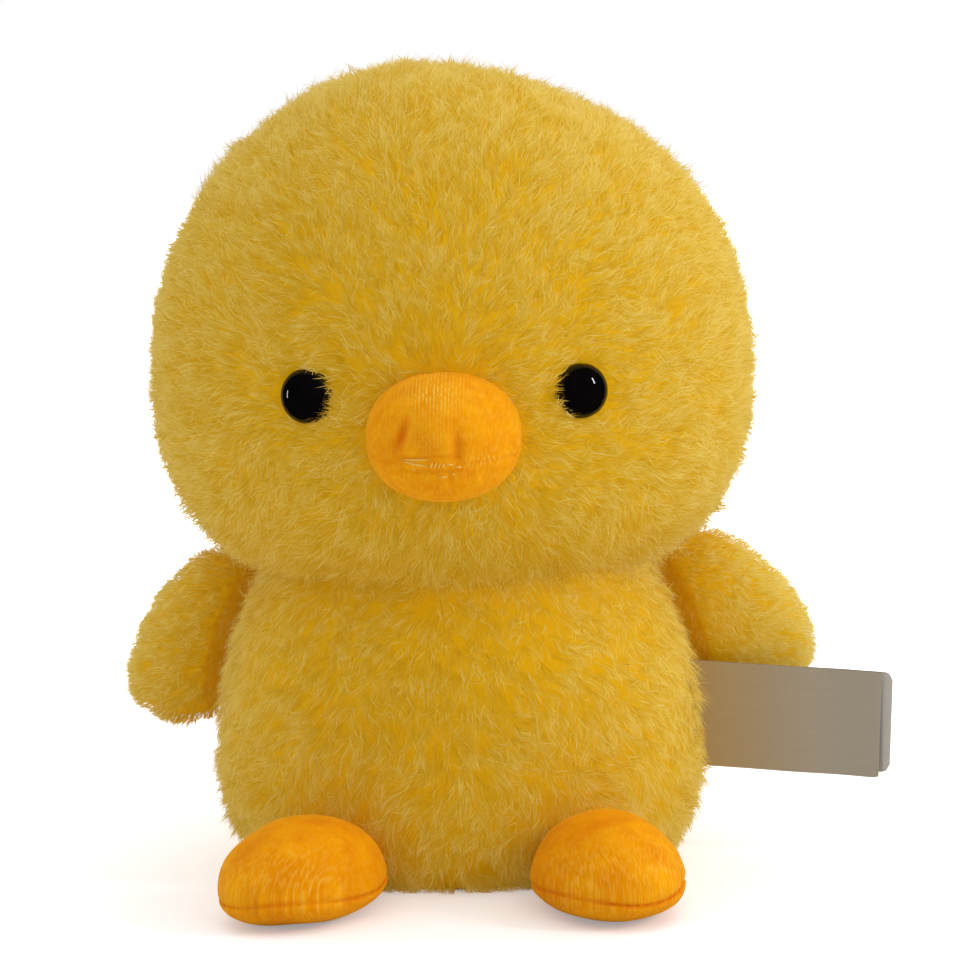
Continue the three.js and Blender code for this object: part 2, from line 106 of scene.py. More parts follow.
# Beak and feet, lengths in metres
BEAK_HALF = (0.0215, 0.027)
BEAK_HEIGHT = 0.0355
BEAK_SEAM_LOW = 0.0045
BEAK_POWER = 2.2
FOOT_POWERS = (2.0, 2.2)
FOOT_HALF = (0.021, 0.029)
FOOT_RISE = 0.0195
FOOT_SEAM_HEIGHT = 0.0085
SOLE_PRESS = 0.0005
FOOT_REACH = 0.086
FOOT_SPREAD_DEG = 30
FOOT_TURN_DEG = {"left": 16, "right": 32}
VELOUR_LINING = 0.0015
VELOUR_FILLING = 0.0022
RIB_PITCH = 0.0010

# Mouth stitches, millimetres: x from the beak's middle and height above the mouth seam, at both ends
BEAK_STITCHES = [
    (-10.6, 1.2, -3.0, 1.5), (-10.8, 0.8, -3.2, -0.5), (-2.9, -0.9, -2.3, 0.7), (-1.8, -0.9, -1.2, 0.6),
    (-0.7, -0.9, -0.1, 0.5), (0.3, -0.8, 0.9, 0.4), (1.4, 0.1, 3.6, -0.1), (3.9, -0.7, 5.6, -0.9),
    (-0.9, -3.5, 1.7, -3.5), (-7.8, -1.3, -6.7, -1.5), (2.7, -2.7, 3.7, -2.8)]
THREAD_RADIUS = 0.00034
THREAD_LIFT = 0.00005

# Dimples beside the mouth, metres: x, height, slant, depth and reach
BEAK_DIMPLES = [(-0.0106, 0.0032, 0.35, 0.0016, 0.0046), (0.0045, 0.0, -0.03, 0.0011, 0.0052)]

# Label, lengths in metres
LABEL_SIZE = (0.0515, 0.0315)
LABEL_BACK_OVERHANG = 0.003
LABEL_BACK_SHORTER = 0.0015
LABEL_THICKNESS = 0.00025
LABEL_LEAF_GAP = 0.0009
LABEL_CORNER = 0.0025
LABEL_FORWARD_DEG = 12
LABEL_DROOP_DEG = 2.5
LABEL_TUCK = 0.0068
LABEL_WAVE = 0.030
LABEL_WAVE_HEIGHT = 0.0005
LABEL_BENDS = {"front": -0.0003, "back": 0.0006}
LABEL_CORNER_SHARES = {"front": 0.2, "back": 0.95}
LABEL_SPAN_X = (0.0738, 0.1270)

# Pile: depth of the backing under the pile's tips, and the strands
PILE_DEPTH = 0.0035
BACKING = 0.001
COVER_LINING = PILE_DEPTH + BACKING
COVER_FILLING = COVER_LINING + 0.001
PILE_LENGTH = 0.0078
STRAND_RADIUS = 0.00011
STRAND_LEANS_DEG = (55, 76)
STRANDS_PER_CLUMP = 5
CLUMP_RADIUS = 0.0008
UPRIGHT_SHARE = 0.12
UPRIGHT_DEG = 15.0
STRAY_SHARE = 0.14
HEAD_CLUMPS, BODY_CLUMPS, WING_CLUMPS = 31000, 15000, 2600
HEAD_SEED, BODY_SEED, FOOT_SEED = 11, 23, 41
WING_SEEDS = {"left": 31, "right": 37}
HEAD_PILE_RISE, BODY_PILE_RISE, WING_PILE_THROUGH = (-0.85, 0.995), (0.02, 0.95), (-0.98, 0.98)
BODY_MIDDLE = np.array([0, 0, 0.05])

# Strand corners: root, the two edges of the bend, its ridge and the tip. Tops come before undersides
STRAND_TRIANGLES = np.array([[0, 3, 1], [0, 2, 3], [1, 3, 4], [3, 2, 4], [0, 1, 2], [1, 4, 2]])
STRAND_CORNERS = 5
STRAND_TOPS = 4
STRAND_MAP_U = np.array([0, -0.015, 0.015, 0, 0])
STRAND_MAP_V = np.array([0.02, 0.48, 0.48, 0.56, 0.98])

# Meshes
FULL_TURN = 2 * np.pi
WELD_GAP = 1e-6
SHARP_DEG = 50
TINY = 1e-12
UP = np.array([0, 0, 1.0])

# Columns and rows of the grids
PANEL_COLUMNS, HEAD_ROWS, BODY_ROWS = 28, 60, 50
LATHE_COLUMNS = 65
STUFFING_GRID = (65, 49)
SEAT_GRID = (65, 12)
WING_CLOTH_GRID = (49, 16)
WING_STUFFING_GRID = (41, 25)
VELOUR_GRID = (289, 46)
VELOUR_LINING_GRID = (289, 9)
VELOUR_STUFFING_GRID = (49, 33)
LABEL_GRID = (60, 30)

# Camera, as the photograph was taken
VIEW_DISTANCE = 1.2
VIEW_ELEVATION_DEG = 8.0
VIEW_ROLL_DEG = 1.3
VIEW_TURN_DEG = 2.0
VIEW_HEIGHT = 0.109
IMAGE_SIZE = 960
FOCAL_PIXELS = 4049
TARGET_PIXEL = (455, 492)
SENSOR_MM = 36

# Light: strength from each direction is a level plus a slope along it
SKY_LEVEL = 0.70
SKY_SLOPE = (0.28, 0.26, 0.60)
LAMP_AIM = (0, 0, 0.14)
# Place, width, height and power of each lamp
LAMPS = {"lamp_right": ((1.03, -0.42, 0.58), 0.09, 0.32, 2.8),
         "lamp_left": ((-1.2, -0.02, 0.16), 0.06, 0.30, 1.1)}
FLOOR_REACH = 3.0
TENT_RADIUS = 1.6


def span(nodes):
    """Lowest and highest corner of several CAD nodes together."""
    corners = np.array([[list(low), list(high)] for low, high in map(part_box, nodes)])
    return corners[:, 0].min(axis=0), corners[:, 1].max(axis=0)


def joint(name):
    """A joint's place and unit axis."""
    found = next(j for j in frame["joints"] if j["name"] == name)
    axis = np.array(found["axis"], float)
    return np.array(found["pos_m"], float), axis / np.linalg.norm(axis)


def unit(vectors):
    """Vectors scaled to length one."""
    return vectors / np.maximum(np.linalg.norm(vectors, axis=-1, keepdims=True), TINY)


head_low, head_high = span([f"head_{face}_panel_{side}" for face in FACES for side in SIDES])
head_half = (head_high - head_low) / 2
head_centre = np.array([0.0, (head_low[1] + head_high[1]) / 2, head_high[2] - HEAD_RISE])
flat_crown = head_centre + np.array(CROWN_FLAT)
neck_pivot = joint("head_nod")[0]
cup_radius = NECK_DOME_RADIUS + NECK_REST_GAP
beak_low, beak_high = span(["beak_upper_panel", "beak_lower_panel"])
beak_centre = np.array([0, beak_low[1] + BEAK_HALF[1], (beak_low[2] + beak_high[2]) / 2])


def eye_seat(side):
    """Point of the head's ellipse where an eye leaves it, with the directions out, across and up there."""
    x = SIDES[side] * EYE_SPACING / 2
    y = -head_half[1] * math.sqrt(1 - (x / head_half[0]) ** 2)
    out = unit(np.array([x / head_half[0] ** 2, y / head_half[1] ** 2, 0]))
    across = np.array([-out[1], out[0], 0])
    return head_centre + np.array([x, y, -EYE_BELOW_CENTRE]), out, across, UP


eye_seats = {side: eye_seat(side) for side in SIDES}


# Surfaces

def bump(distance, width):
    """Bell curve of a distance."""
    return np.exp(-(distance / width) ** 2)


def dip(distance, size):
    """Bell curve of a distance, its depth and width given by a size."""
    return size[0] * bump(distance, size[1])


def ripple(points, wavelength, seed):
    """Smooth noise: a sum of plane waves of one wavelength, in random directions and phases."""
    waves = 14
    rng = np.random.default_rng(seed)
    directions = unit(rng.normal(size=(waves, 3))) * FULL_TURN / wavelength
    phases = rng.uniform(0, FULL_TURN, waves)
    return np.sin(points @ directions.T + phases).sum(axis=-1) * math.sqrt(2 / waves)


def eased(value, below, above, softness=0.003):
    """Smooth change from one share to another where a value passes zero."""
    return below + (above - below) / (1 + np.exp(-value / softness))


def rounded_form(around, rise, half, heights, powers, inset):
    """Ellipses round Z whose size follows a superellipse of the height, with its own height and power above
    and below the widest level."""
    angle = rise * np.pi / 2
    power = np.where(angle >= 0, *powers)
    reach = (np.abs(np.cos(angle)) ** power + np.abs(np.sin(angle)) ** power) ** (-1 / power)
    level = reach * np.cos(angle)
    return np.stack([
        (half[0] - inset) * level * np.cos(around),
        (half[1] - inset) * level * np.sin(around),
        (np.where(angle >= 0, *heights) - inset) * reach * np.sin(angle)], axis=-1)


def head_relief(points):
    """Depth drawn in on the head: sockets round the eyes, the centre seam over the crown and a flatter
    place beside it."""
    height = np.clip((points[..., 2] - head_centre[2]) / HEAD_RISE, 0, 1)
    depth = dip(points[..., 0], CENTRE_SEAM_DIP) * height ** 4
    depth = depth + dip(np.linalg.norm(points - flat_crown, axis=-1), CROWN_DIP)
    for seat, *_ in eye_seats.values():
        depth = depth + dip(np.linalg.norm(points - seat, axis=-1), SOCKET_DIP)
    return depth


def head_form(around, rise, inset=PILE_DEPTH):
    """Head: a rounded form. Relief is taken off towards the centre, and what lies in the neck ball moves
    out to it."""
    offset = rounded_form(around, rise, head_half, (HEAD_RISE, HEAD_DROP), HEAD_POWERS, inset)
    points = head_centre + offset
    points = points - unit(offset) * head_relief(points)[..., None]
    from_pivot = points - neck_pivot
    away = np.linalg.norm(from_pivot, axis=-1, keepdims=True)
    ball = cup_radius + CUP_SHARE * inset
    return neck_pivot + from_pivot * np.maximum(1, ball / np.maximum(away, TINY))


def body_form(around, up, inset=PILE_DEPTH):
    """Body: ellipses round Z. Their half-widths swell as a quarter circle from the seat to the belly,
    pass along a cubic to the shoulder and close as the neck ball."""
    seat_share, flank_share = 0.25, 0.65
    turn = np.clip(up / seat_share, 0, 1) * np.pi / 2
    ball = NECK_DOME_RADIUS - inset
    shoulder = SHOULDER_HEIGHT - neck_pivot[2]
    shoulder_half = math.sqrt(ball ** 2 - shoulder ** 2)
    s = np.clip((up - seat_share) / (flank_share - seat_share), 0, 1)
    run = SHOULDER_HEIGHT - BELLY_HEIGHT
    slope = -shoulder / shoulder_half * run
    tilt = math.asin(shoulder / ball)
    climb = tilt + (np.pi / 2 - tilt) * np.clip((up - flank_share) / (1 - flank_share), 0, 1)
    zones = [up < seat_share, up < flank_share]
    height = np.select(zones, [BELLY_HEIGHT * (1 - np.cos(turn)), BELLY_HEIGHT + run * s],
                       neck_pivot[2] + ball * np.sin(climb))
    halves = []
    for seat, belly in zip(SEAT_HALF, BELLY_HALF):
        low = seat + (belly - seat) * np.sin(turn) - inset
        belly = belly - inset
        flank = belly + (shoulder_half - belly) * s * s * (3 - 2 * s) + slope * s * s * (s - 1)
        halves.append(np.select(zones, [low, flank], ball * np.cos(climb)))
    return np.stack([halves[0] * np.cos(around), halves[1] * np.sin(around), height], axis=-1)


def wing_axes(side):
    """Root point of a wing with its outward, downward and thickness directions."""
    root, axis = joint(f"wing_{side}_swing")
    down = axis * -np.sign(axis[2])
    normal = np.array([root[0] / BELLY_HALF[0] ** 2, root[1] / BELLY_HALF[1] ** 2, 0])
    out = unit(normal - down * (normal @ down))
    return root, out, down, np.cross(out, down)


def wing_form(around, through, side, inset=WING_INSET):
    """Wing: an ellipsoid tilted in its own plane and moved out from the root, each half of its
    breadth and length with its own share, pinched between two planes that meet at the root line."""
    root, outward_way, down, thick = wing_axes(side)
    tilt = math.radians(WING_TILT_DEG[side])
    angle = through * np.pi / 2
    across = (WING_HALF[0] - inset) * np.cos(angle) * np.cos(around)
    along = (WING_HALF[1] - inset) * np.cos(angle) * np.sin(around)
    across = across * eased(across, *WING_BREADTHS[side])
    along = along * eased(along, *WING_LENGTHS[side])
    out = WING_OUT[side] + across * math.cos(tilt) + along * math.sin(tilt)
    fall = WING_DOWN[side] - across * math.sin(tilt) + along * math.cos(tilt)
    deeper = inset - WING_INSET
    out = np.maximum(out, 3 * deeper - WING_ROOT_TUCK)
    opening = math.tan(math.radians(WING_ROOT_ROOM_DEG))
    room = WING_ROOT_ROOM - deeper / 2 + np.maximum(out, 0) / opening
    depth = np.clip((WING_HALF[2] - inset) * np.sin(angle), -room, room)
    return root + out[..., None] * outward_way + fall[..., None] * down + depth[..., None] * thick


def velour_form(around, rise, half, heights, powers, relief, inset=0.0):
    """Stuffed velour: a rounded form about its widest level, moved out or in by a relief."""
    points = rounded_form(around, rise, half, heights, powers, inset)
    x, y, z = np.moveaxis(points, -1, 0)
    slope = np.stack([x / half[0] ** 2, y / half[1] ** 2, z / np.where(rise >= 0, *heights) ** 2], -1)
    return points + unit(slope) * relief(points)[..., None]


def lathe(profile, point, out, across, up):
    """Profile of (radius, height) pairs carried round the line that leaves a point outwards."""
    around = np.linspace(0, FULL_TURN, LATHE_COLUMNS)[:, None]
    ring = np.cos(around) * across + np.sin(around) * up
    return point + profile[:, 0, None, None] * ring + profile[:, 1, None, None] * out


def beak_relief(points):
    """Mouth drawn in by its stitches: two shallow grooves with a raised strip between them, a slanted
    dimple at each end of the stitches, a fuller cheek between and fine puckers below."""
    x, z = points[..., 0], points[..., 2]
    above = z + BEAK_SEAM_LOW
    front = np.clip(-points[..., 1] / 0.012, 0, 1)
    sewn = eased(x + 0.0115, 0, 1, 0.0008) * eased(0.0050 - x, 0, 1, 0.0008)
    arch = 0.0017 + 0.0005 * bump(x + 0.001, 0.005)
    relief = -0.0006 * bump(above - arch, 0.0007) * sewn - 0.0003 * bump(above, 0.0006) * (1 - sewn)
    relief -= 0.0005 * bump(above + 0.0020, 0.0006) * sewn
    for place, middle, slant, depth, reach in BEAK_DIMPLES:
        level = z - middle
        relief -= depth * bump(x - place - slant * level, 0.0016) * bump(level, reach)
    relief += 0.0008 * bump(x + 0.0032, 0.0055) * bump(z - 0.003, 0.005)
    pucker = np.sin(x / 0.0047 * FULL_TURN + 1.0) + 0.7 * np.sin(x / 0.0029 * FULL_TURN)
    relief += 0.00018 * pucker * bump(above + 0.0045, 0.0028) * bump(x, 0.012)
    return relief * front


def foot_relief(points, seed):
    """Seam drawn in unevenly all round, with short puckers that cross it and a slightly uneven filling."""
    rng = np.random.default_rng(seed)
    x, y = points[..., 0] / FOOT_HALF[0], points[..., 1] / FOOT_HALF[1]
    around = np.arctan2(y, x)
    pucker = sum(rng.uniform(0.5, 1) * np.sin(k * around + rng.uniform(0, 6)) for k in (27, 38, 47, 58))
    patch = 0.5 + 0.5 * np.sin(2 * around + rng.uniform(0, 6))
    level = points[..., 2] - 0.0009 * np.sin(3 * around + rng.uniform(0, 6))
    drawn = 0.0005 + 0.0003 * (1 - patch) + 0.00010 * pucker
    crossing = 0.00015 * pucker * patch * bump(level, 0.0035) * np.clip(np.hypot(x, y) / 0.3, 0, 1)
    return crossing - drawn * bump(level, 0.0007) + 0.00015 * ripple(points, 0.018, seed)


# Meshes

def turns(grid, low, high):
    """Grid of angles all round, along the columns, and of a second parameter, along the rows."""
    return np.meshgrid(np.linspace(0, FULL_TURN, grid[0]), np.linspace(low, high, grid[1]))


def weld(points, triangles):
    """Merge coinciding points and drop triangles that lost a corner; the third result lists kept points."""
    keys = np.round(points / WELD_GAP).astype(np.int64)
    _, first, place = np.unique(keys, axis=0, return_index=True, return_inverse=True)
    triangles = place.reshape(-1)[triangles]
    a, b, c = triangles.T
    return points[first], triangles[(a != b) & (b != c) & (c != a)], first


def grid_triangles(rows, columns, start=0):
    """Triangles of a grid of points, two for each cell."""
    corner = (np.arange(rows - 1)[:, None] * columns + np.arange(columns - 1)).ravel() + start
    right, above, across = corner + 1, corner + columns, corner + columns + 1
    return np.concatenate([np.stack([corner, right, across], 1), np.stack([corner, across, above], 1)])


def joined(outer, inner, edge, following):
    """Closed mesh of an outer and an inner grid, with a rim from each edge point to the next."""
    start = outer.shape[0] * outer.shape[1]
    rim = np.concatenate([np.stack([edge, edge + start, following + start], 1),
                          np.stack([edge, following + start, following], 1)])
    inside = grid_triangles(*inner.shape[:2], start)[:, ::-1]
    triangles = np.concatenate([grid_triangles(*outer.shape[:2]), inside, rim])
    return np.concatenate([outer.reshape(-1, 3), inner.reshape(-1, 3)]), triangles


def closed_shell(outer, inner):
    """Closed sheet between an outer and an inner grid, joined along all four edges."""
    rows, columns = outer.shape[:2]
    index = np.arange(rows * columns).reshape(rows, columns)
    edge = np.concatenate([index[0, :-1], index[:-1, -1], index[-1, :0:-1], index[:0:-1, 0]])
    return joined(outer, inner, edge, np.roll(edge, -1))


def lined_cap(outer, inner):
    """Closed cap between two grids that share their columns, joined along their first rows; the last rows
    are poles."""
    edge = np.arange(outer.shape[1] - 1)
    return joined(outer, inner, edge, edge + 1)


def outward(points, triangles):
    """Triangles turned so that the closed mesh has a positive volume."""
    a, b, c = (points[triangles[:, i]] - points.mean(axis=0) for i in range(3))
    volume = np.einsum("ij,ij->", a, np.cross(b, c))
    return triangles if volume > 0 else triangles[:, ::-1]


def add_object(name, data):
    """Object in the scene that shows a mesh, a lamp or a camera."""
    made = bpy.data.objects.new(name, data)
    bpy.context.scene.collection.objects.link(made)
    return made


def new_piece(name, points, triangles, body, material):
    """Mesh object from points and triangles, riding on a body."""
    mesh = bpy.data.meshes.new(name)
    mesh.vertices.add(len(points))
    mesh.vertices.foreach_set("co", np.asarray(points, np.float32).ravel())
    mesh.loops.add(3 * len(triangles))
    mesh.loops.foreach_set("vertex_index", np.asarray(triangles, np.int32).ravel())
    mesh.polygons.add(len(triangles))
    mesh.polygons.foreach_set("loop_start", np.arange(0, 3 * len(triangles), 3, dtype=np.int32))
    mesh.update(calc_edges=True)
    mesh.polygons.foreach_set("use_smooth", np.full(len(triangles), True))
    mesh.set_sharp_from_angle(angle=math.radians(SHARP_DEG))
    mesh.materials.append(material)
    piece = add_object(name, mesh)
    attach(piece, body)
    return piece


def closed_piece(name, points, triangles, body, material, replaced=None):
    """Closed piece, standing for a CAD node if one is named, and which of its points the weld kept."""
    points, triangles, kept = weld(points, triangles)
    piece = new_piece(name, points, outward(points, triangles), body, material)
    if replaced:
        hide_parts(replaced)
    return piece, kept


def soft_piece(name, points, triangles, body, material, replaced):
    """Stuffed piece that stands for a CAD node, and which of its points the weld kept."""
    piece, kept = closed_piece(name, points, triangles, body, material, replaced)
    return piece, kept


def make_filling(prefix, form, body):
    """Loose fibre inside a cover, from a grid of points."""
    soft_piece(f"{prefix}_filling", form.reshape(-1, 3), grid_triangles(*form.shape[:2]), body,
               fibre_fill, f"{prefix}_stuffing")


# Materials

def add_node(tree, kind, inputs=None, **settings):
    """Shader node: its settings first, then each input as a constant or as a link from an output."""
    made = tree.nodes.new(f"ShaderNode{kind}")
    for setting, value in settings.items():
        setattr(made, setting, value)
    for socket, value in (inputs or {}).items():
        if isinstance(value, bpy.types.NodeSocket):
            tree.links.new(value, made.inputs[socket])
        else:
            made.inputs[socket].default_value = value
    return made


def calculate(tree, operation, *values):
    """Result of one operation on values."""
    return add_node(tree, "Math", dict(enumerate(values)), operation=operation).outputs[0]


def scale_range(tree, value, low, high, to=(0.0, 1.0), kind="LINEAR"):
    """A value carried from one range to another, held at the ends."""
    inputs = {"Value": value, "From Min": low, "From Max": high, "To Min": to[0], "To Max": to[1]}
    return add_node(tree, "MapRange", inputs, interpolation_type=kind).outputs["Result"]


def smooth_step(tree, value, low, high):
    """Smooth rise from 0 at one value to 1 at another."""
    return scale_range(tree, value, low, high, kind="SMOOTHSTEP")


def mix_colours(tree, share, first, second, blend="MIX"):
    """Two colours mixed by a share."""
    inputs = {"Factor": share, "A": first, "B": second}
    return add_node(tree, "Mix", inputs, data_type="RGBA", blend_type=blend).outputs["Result"]


def noise(tree, where, scale, detail):
    """Soft noise at a place."""
    return add_node(tree, "TexNoise", {"Vector": where, "Scale": scale, "Detail": detail}).outputs["Fac"]


def stretch(tree, where, sizes):
    """A place stretched along its axes."""
    return add_node(tree, "VectorMath", {0: where, 1: sizes}, operation="MULTIPLY").outputs["Vector"]


def parts_of(tree, where):
    """X, Y and Z of a place."""
    return add_node(tree, "SeparateXYZ", {0: where}).outputs


def object_place(tree):
    """Place in the object's own coordinates."""
    return add_node(tree, "TexCoord").outputs["Object"]


def attribute(tree, name):
    """Value that the mesh holds under a name."""
    return add_node(tree, "Attribute", attribute_name=name).outputs["Fac"]


def ramp(tree, value, stops):
    """Colour ramp with (place, colour) stops."""
    made = add_node(tree, "ValToRGB", {"Fac": value})
    elements = made.color_ramp.elements
    while len(elements) < len(stops):
        elements.new(0.5)
    for element, (place, colour) in zip(elements, stops):
        element.position = place
        element.color = (*colour, 1)
    return made.outputs["Color"]


def new_material(name, **constants):
    """Material with a Principled shader whose constant sockets are set on the shader itself."""
    material = bpy.data.materials.new(name)
    material.use_nodes = True
    shader = material.node_tree.nodes["Principled BSDF"]
    for socket, value in constants.items():
        shader.inputs[socket.replace("_", " ")].default_value = value
    return material, material.node_tree, shader


def raise_surface(tree, shader, height, strength, distance):
    """Fine relief of the shader's normal from a height."""
    inputs = {"Strength": strength, "Distance": distance, "Height": height}
    tree.links.new(add_node(tree, "Bump", inputs).outputs["Normal"], shader.inputs["Normal"])


def cloudy_tint_group():
    """Node group: soft noise in object coordinates that mixes a low and a high colour."""
    group = bpy.data.node_groups.new("cloudy_tint", "ShaderNodeTree")
    for name, kind in (("Scale", "Float"), ("Detail", "Float"), ("Low", "Color"), ("High", "Color")):
        group.interface.new_socket(name, in_out="INPUT", socket_type=f"NodeSocket{kind}")
    group.interface.new_socket("Color", in_out="OUTPUT", socket_type="NodeSocketColor")
    given = group.nodes.new("NodeGroupInput").outputs
    result = group.nodes.new("NodeGroupOutput").inputs
    share = scale_range(group, noise(group, object_place(group), given["Scale"], given["Detail"]), 0.3, 0.7)
    group.links.new(mix_colours(group, share, given["Low"], given["High"]), result["Color"])
    return group


def cloudy_tint(tree, scale, detail, low, high):
    """Colour output of the cloudy tint group, used in one material."""
    inputs = {"Scale": scale, "Detail": detail, "Low": (*low, 1), "High": (*high, 1)}
    return add_node(tree, "Group", inputs, node_tree=cloudy_group).outputs["Color"]


def pile_material():
    """Pile strands: gold at the root to straw at the tip. Red stays level, so that strands differ in how
    pale they are more than in how bright. A glow, stronger on the undersides in the right half of the
    strand map, stands for the light that passes through them."""
    material, tree, shader = new_material(
        "pile", Roughness=0.8, Specular_IOR_Level=0.05, Sheen_Weight=0.35, Sheen_Roughness=0.25,
        Sheen_Tint=(1.0, 0.86, 0.32, 1), Emission_Strength=1.0)
    place = parts_of(tree, add_node(tree, "UVMap", uv_map="Pile").outputs["UV"])
    deep = ramp(tree, place["Y"], [
        (0.0, (0.57, 0.27, 0.001)), (0.5, (0.59, 0.30, 0.002)), (1.0, (0.62, 0.36, 0.010))])
    pale = ramp(tree, place["Y"], [
        (0.0, (0.62, 0.32, 0.003)), (0.5, (0.70, 0.46, 0.05)), (1.0, (0.80, 0.62, 0.20))])
    tone = calculate(tree, "FRACT", calculate(tree, "MULTIPLY", place["X"], 2))
    colour = mix_colours(tree, tone, deep, pale)
    tree.links.new(colour, shader.inputs["Base Color"])
    through = scale_range(tree, place["X"], 0.498, 0.502, to=(0.09, 0.55))
    glow = add_node(tree, "VectorMath", {0: colour, "Scale": through}, operation="SCALE")
    tree.links.new(glow.outputs["Vector"], shader.inputs["Emission Color"])
    return material


def velour_material():
    """Orange velour: cloudy nap, beaded pale ribs and lengthwise pale streaks on the nap map, each as
    strong as its attribute says, and painted shade, a darker red, in the creases where the surface is drawn
    in."""
    material, tree, shader = new_material(
        "velour", Roughness=0.85, Specular_IOR_Level=0.02, Sheen_Weight=0.4, Sheen_Roughness=0.3,
        Sheen_Tint=(1.0, 0.66, 0.06, 1))
    tint = cloudy_tint(tree, 170, 5, (0.74, 0.25, 0.001), (0.84, 0.34, 0.002))
    place = add_node(tree, "UVMap", uv_map="Nap").outputs["UV"]
    breaks = noise(tree, place, 0.9, 3)
    sway = calculate(tree, "MULTIPLY_ADD", breaks, 0.5, parts_of(tree, place)["X"])
    ridge = smooth_step(tree, calculate(tree, "PINGPONG", sway, 0.5), 0.20, 0.46)
    beaded = calculate(tree, "MULTIPLY", ridge, smooth_step(tree, breaks, 0.36, 0.56))
    ribs = calculate(tree, "MULTIPLY", beaded, attribute(tree, "ribs"))
    lengthwise = noise(tree, stretch(tree, place, (1.5, 0.5, 1)), 1.0, 2)
    streak = smooth_step(tree, lengthwise, 0.42, 0.64)
    streaks = calculate(tree, "MULTIPLY", streak, attribute(tree, "streaks"))
    shown = calculate(tree, "MAXIMUM", ribs, streaks)
    ribbed = mix_colours(tree, shown, tint, (0.92, 0.56, 0.075, 1))
    # Painted shade: darker red in the creases where the surface is drawn in
    drawn = mix_colours(tree, attribute(tree, "crease"), ribbed, (0.62, 0.12, 0.002, 1))
    tree.links.new(drawn, shader.inputs["Base Color"])
    raise_surface(tree, shader, calculate(tree, "MULTIPLY_ADD", breaks, 0.35, shown), 0.5, 0.0003)
    return material


def cloudy_material(name, scale, low, high, **constants):
    """Finish with a cloudy change between two colours."""
    material, tree, shader = new_material(name, **constants)
    tree.links.new(cloudy_tint(tree, scale, 2, low, high), shader.inputs["Base Color"])
    return material


def plain_material(name, colour, spread, scale, **constants):
    """Finish with a slight cloudy change of one colour."""
    low = tuple(c * (1 - spread) for c in colour)
    high = tuple(min(1, c * (1 + spread)) for c in colour)
    return cloudy_material(name, scale, low, high, **constants)


def satin_material():
    """Label satin: grey, warmer near the seam with painted yellow bounce light from the fur, paler at the
    far end, with fine threads along the leaf.
    """
    material, tree, shader = new_material("label_satin", Roughness=0.5, Sheen_Weight=0.15)
    where = object_place(tree)
    threads = noise(tree, stretch(tree, where, (120, 120, 2600)), 1.0, 2)
    far = scale_range(tree, parts_of(tree, where)["X"], *LABEL_SPAN_X)
    # Painted bounce light: warmer near the seam, where the yellow fur lights the label
    tint = ramp(tree, far, [
        (0.0, (0.43, 0.31, 0.13)), (0.35, (0.40, 0.335, 0.22)), (0.75, (0.37, 0.34, 0.275)),
        (0.95, (0.37, 0.34, 0.28)), (0.96, (0.50, 0.47, 0.42))])
    shade = ramp(tree, threads, [(0.3, (0.95, 0.95, 0.95)), (0.7, (1.0, 1.0, 1.0))])
    tree.links.new(mix_colours(tree, 1.0, tint, shade, "MULTIPLY"), shader.inputs["Base Color"])
    raise_surface(tree, shader, threads, 0.3, 0.0001)
    return material


cloudy_group = cloudy_tint_group()
pile = pile_material()
backing = cloudy_material(
    "pile_backing", 900, (0.69, 0.35, 0.001), (0.71, 0.39, 0.006), Roughness=0.9, Specular_IOR_Level=0.05,
    Sheen_Weight=0.45, Sheen_Roughness=0.25, Sheen_Tint=(1.0, 0.93, 0.62, 1))
velour = velour_material()
eye_plastic = plain_material(
    "eye_plastic", (0.0025, 0.002, 0.002), 0.2, 200, Roughness=0.04, Specular_IOR_Level=0.3)
washer_plastic = plain_material("washer_plastic", (0.78, 0.76, 0.70), 0.04, 90, Roughness=0.45)
fibre_fill = plain_material("fibre_fill", (0.85, 0.84, 0.80), 0.08, 300, Roughness=1.0)
thread = plain_material("thread", (0.84, 0.46, 0.05), 0.08, 900, Roughness=0.6)
label_satin = satin_material()


# Pile strands

def tangents(form, first, second):
    """Points of a surface, its two derivatives by central differences and its unit normal."""
    step = 1e-4
    along = (form(first + step, second) - form(first - step, second)) / (2 * step)
    across = (form(first, second + step) - form(first, second - step)) / (2 * step)
    return form(first, second), along, across, unit(np.cross(along, across))


def scatter(form, count, ranges, rng):
    """Random parameters of a surface, evenly spread over its area: more are drawn than needed, and each
    is kept with a chance in proportion to the area of its cell."""
    draws = count * 6
    first = rng.uniform(*ranges[0], draws)
    second = rng.uniform(*ranges[1], draws)
    _, along, across, _ = tangents(form, first, second)
    area = np.linalg.norm(np.cross(along, across), axis=-1)
    keep = np.flatnonzero(rng.uniform(0, np.quantile(area, 0.995), draws) < area)[:count]
    return first[keep], second[keep]


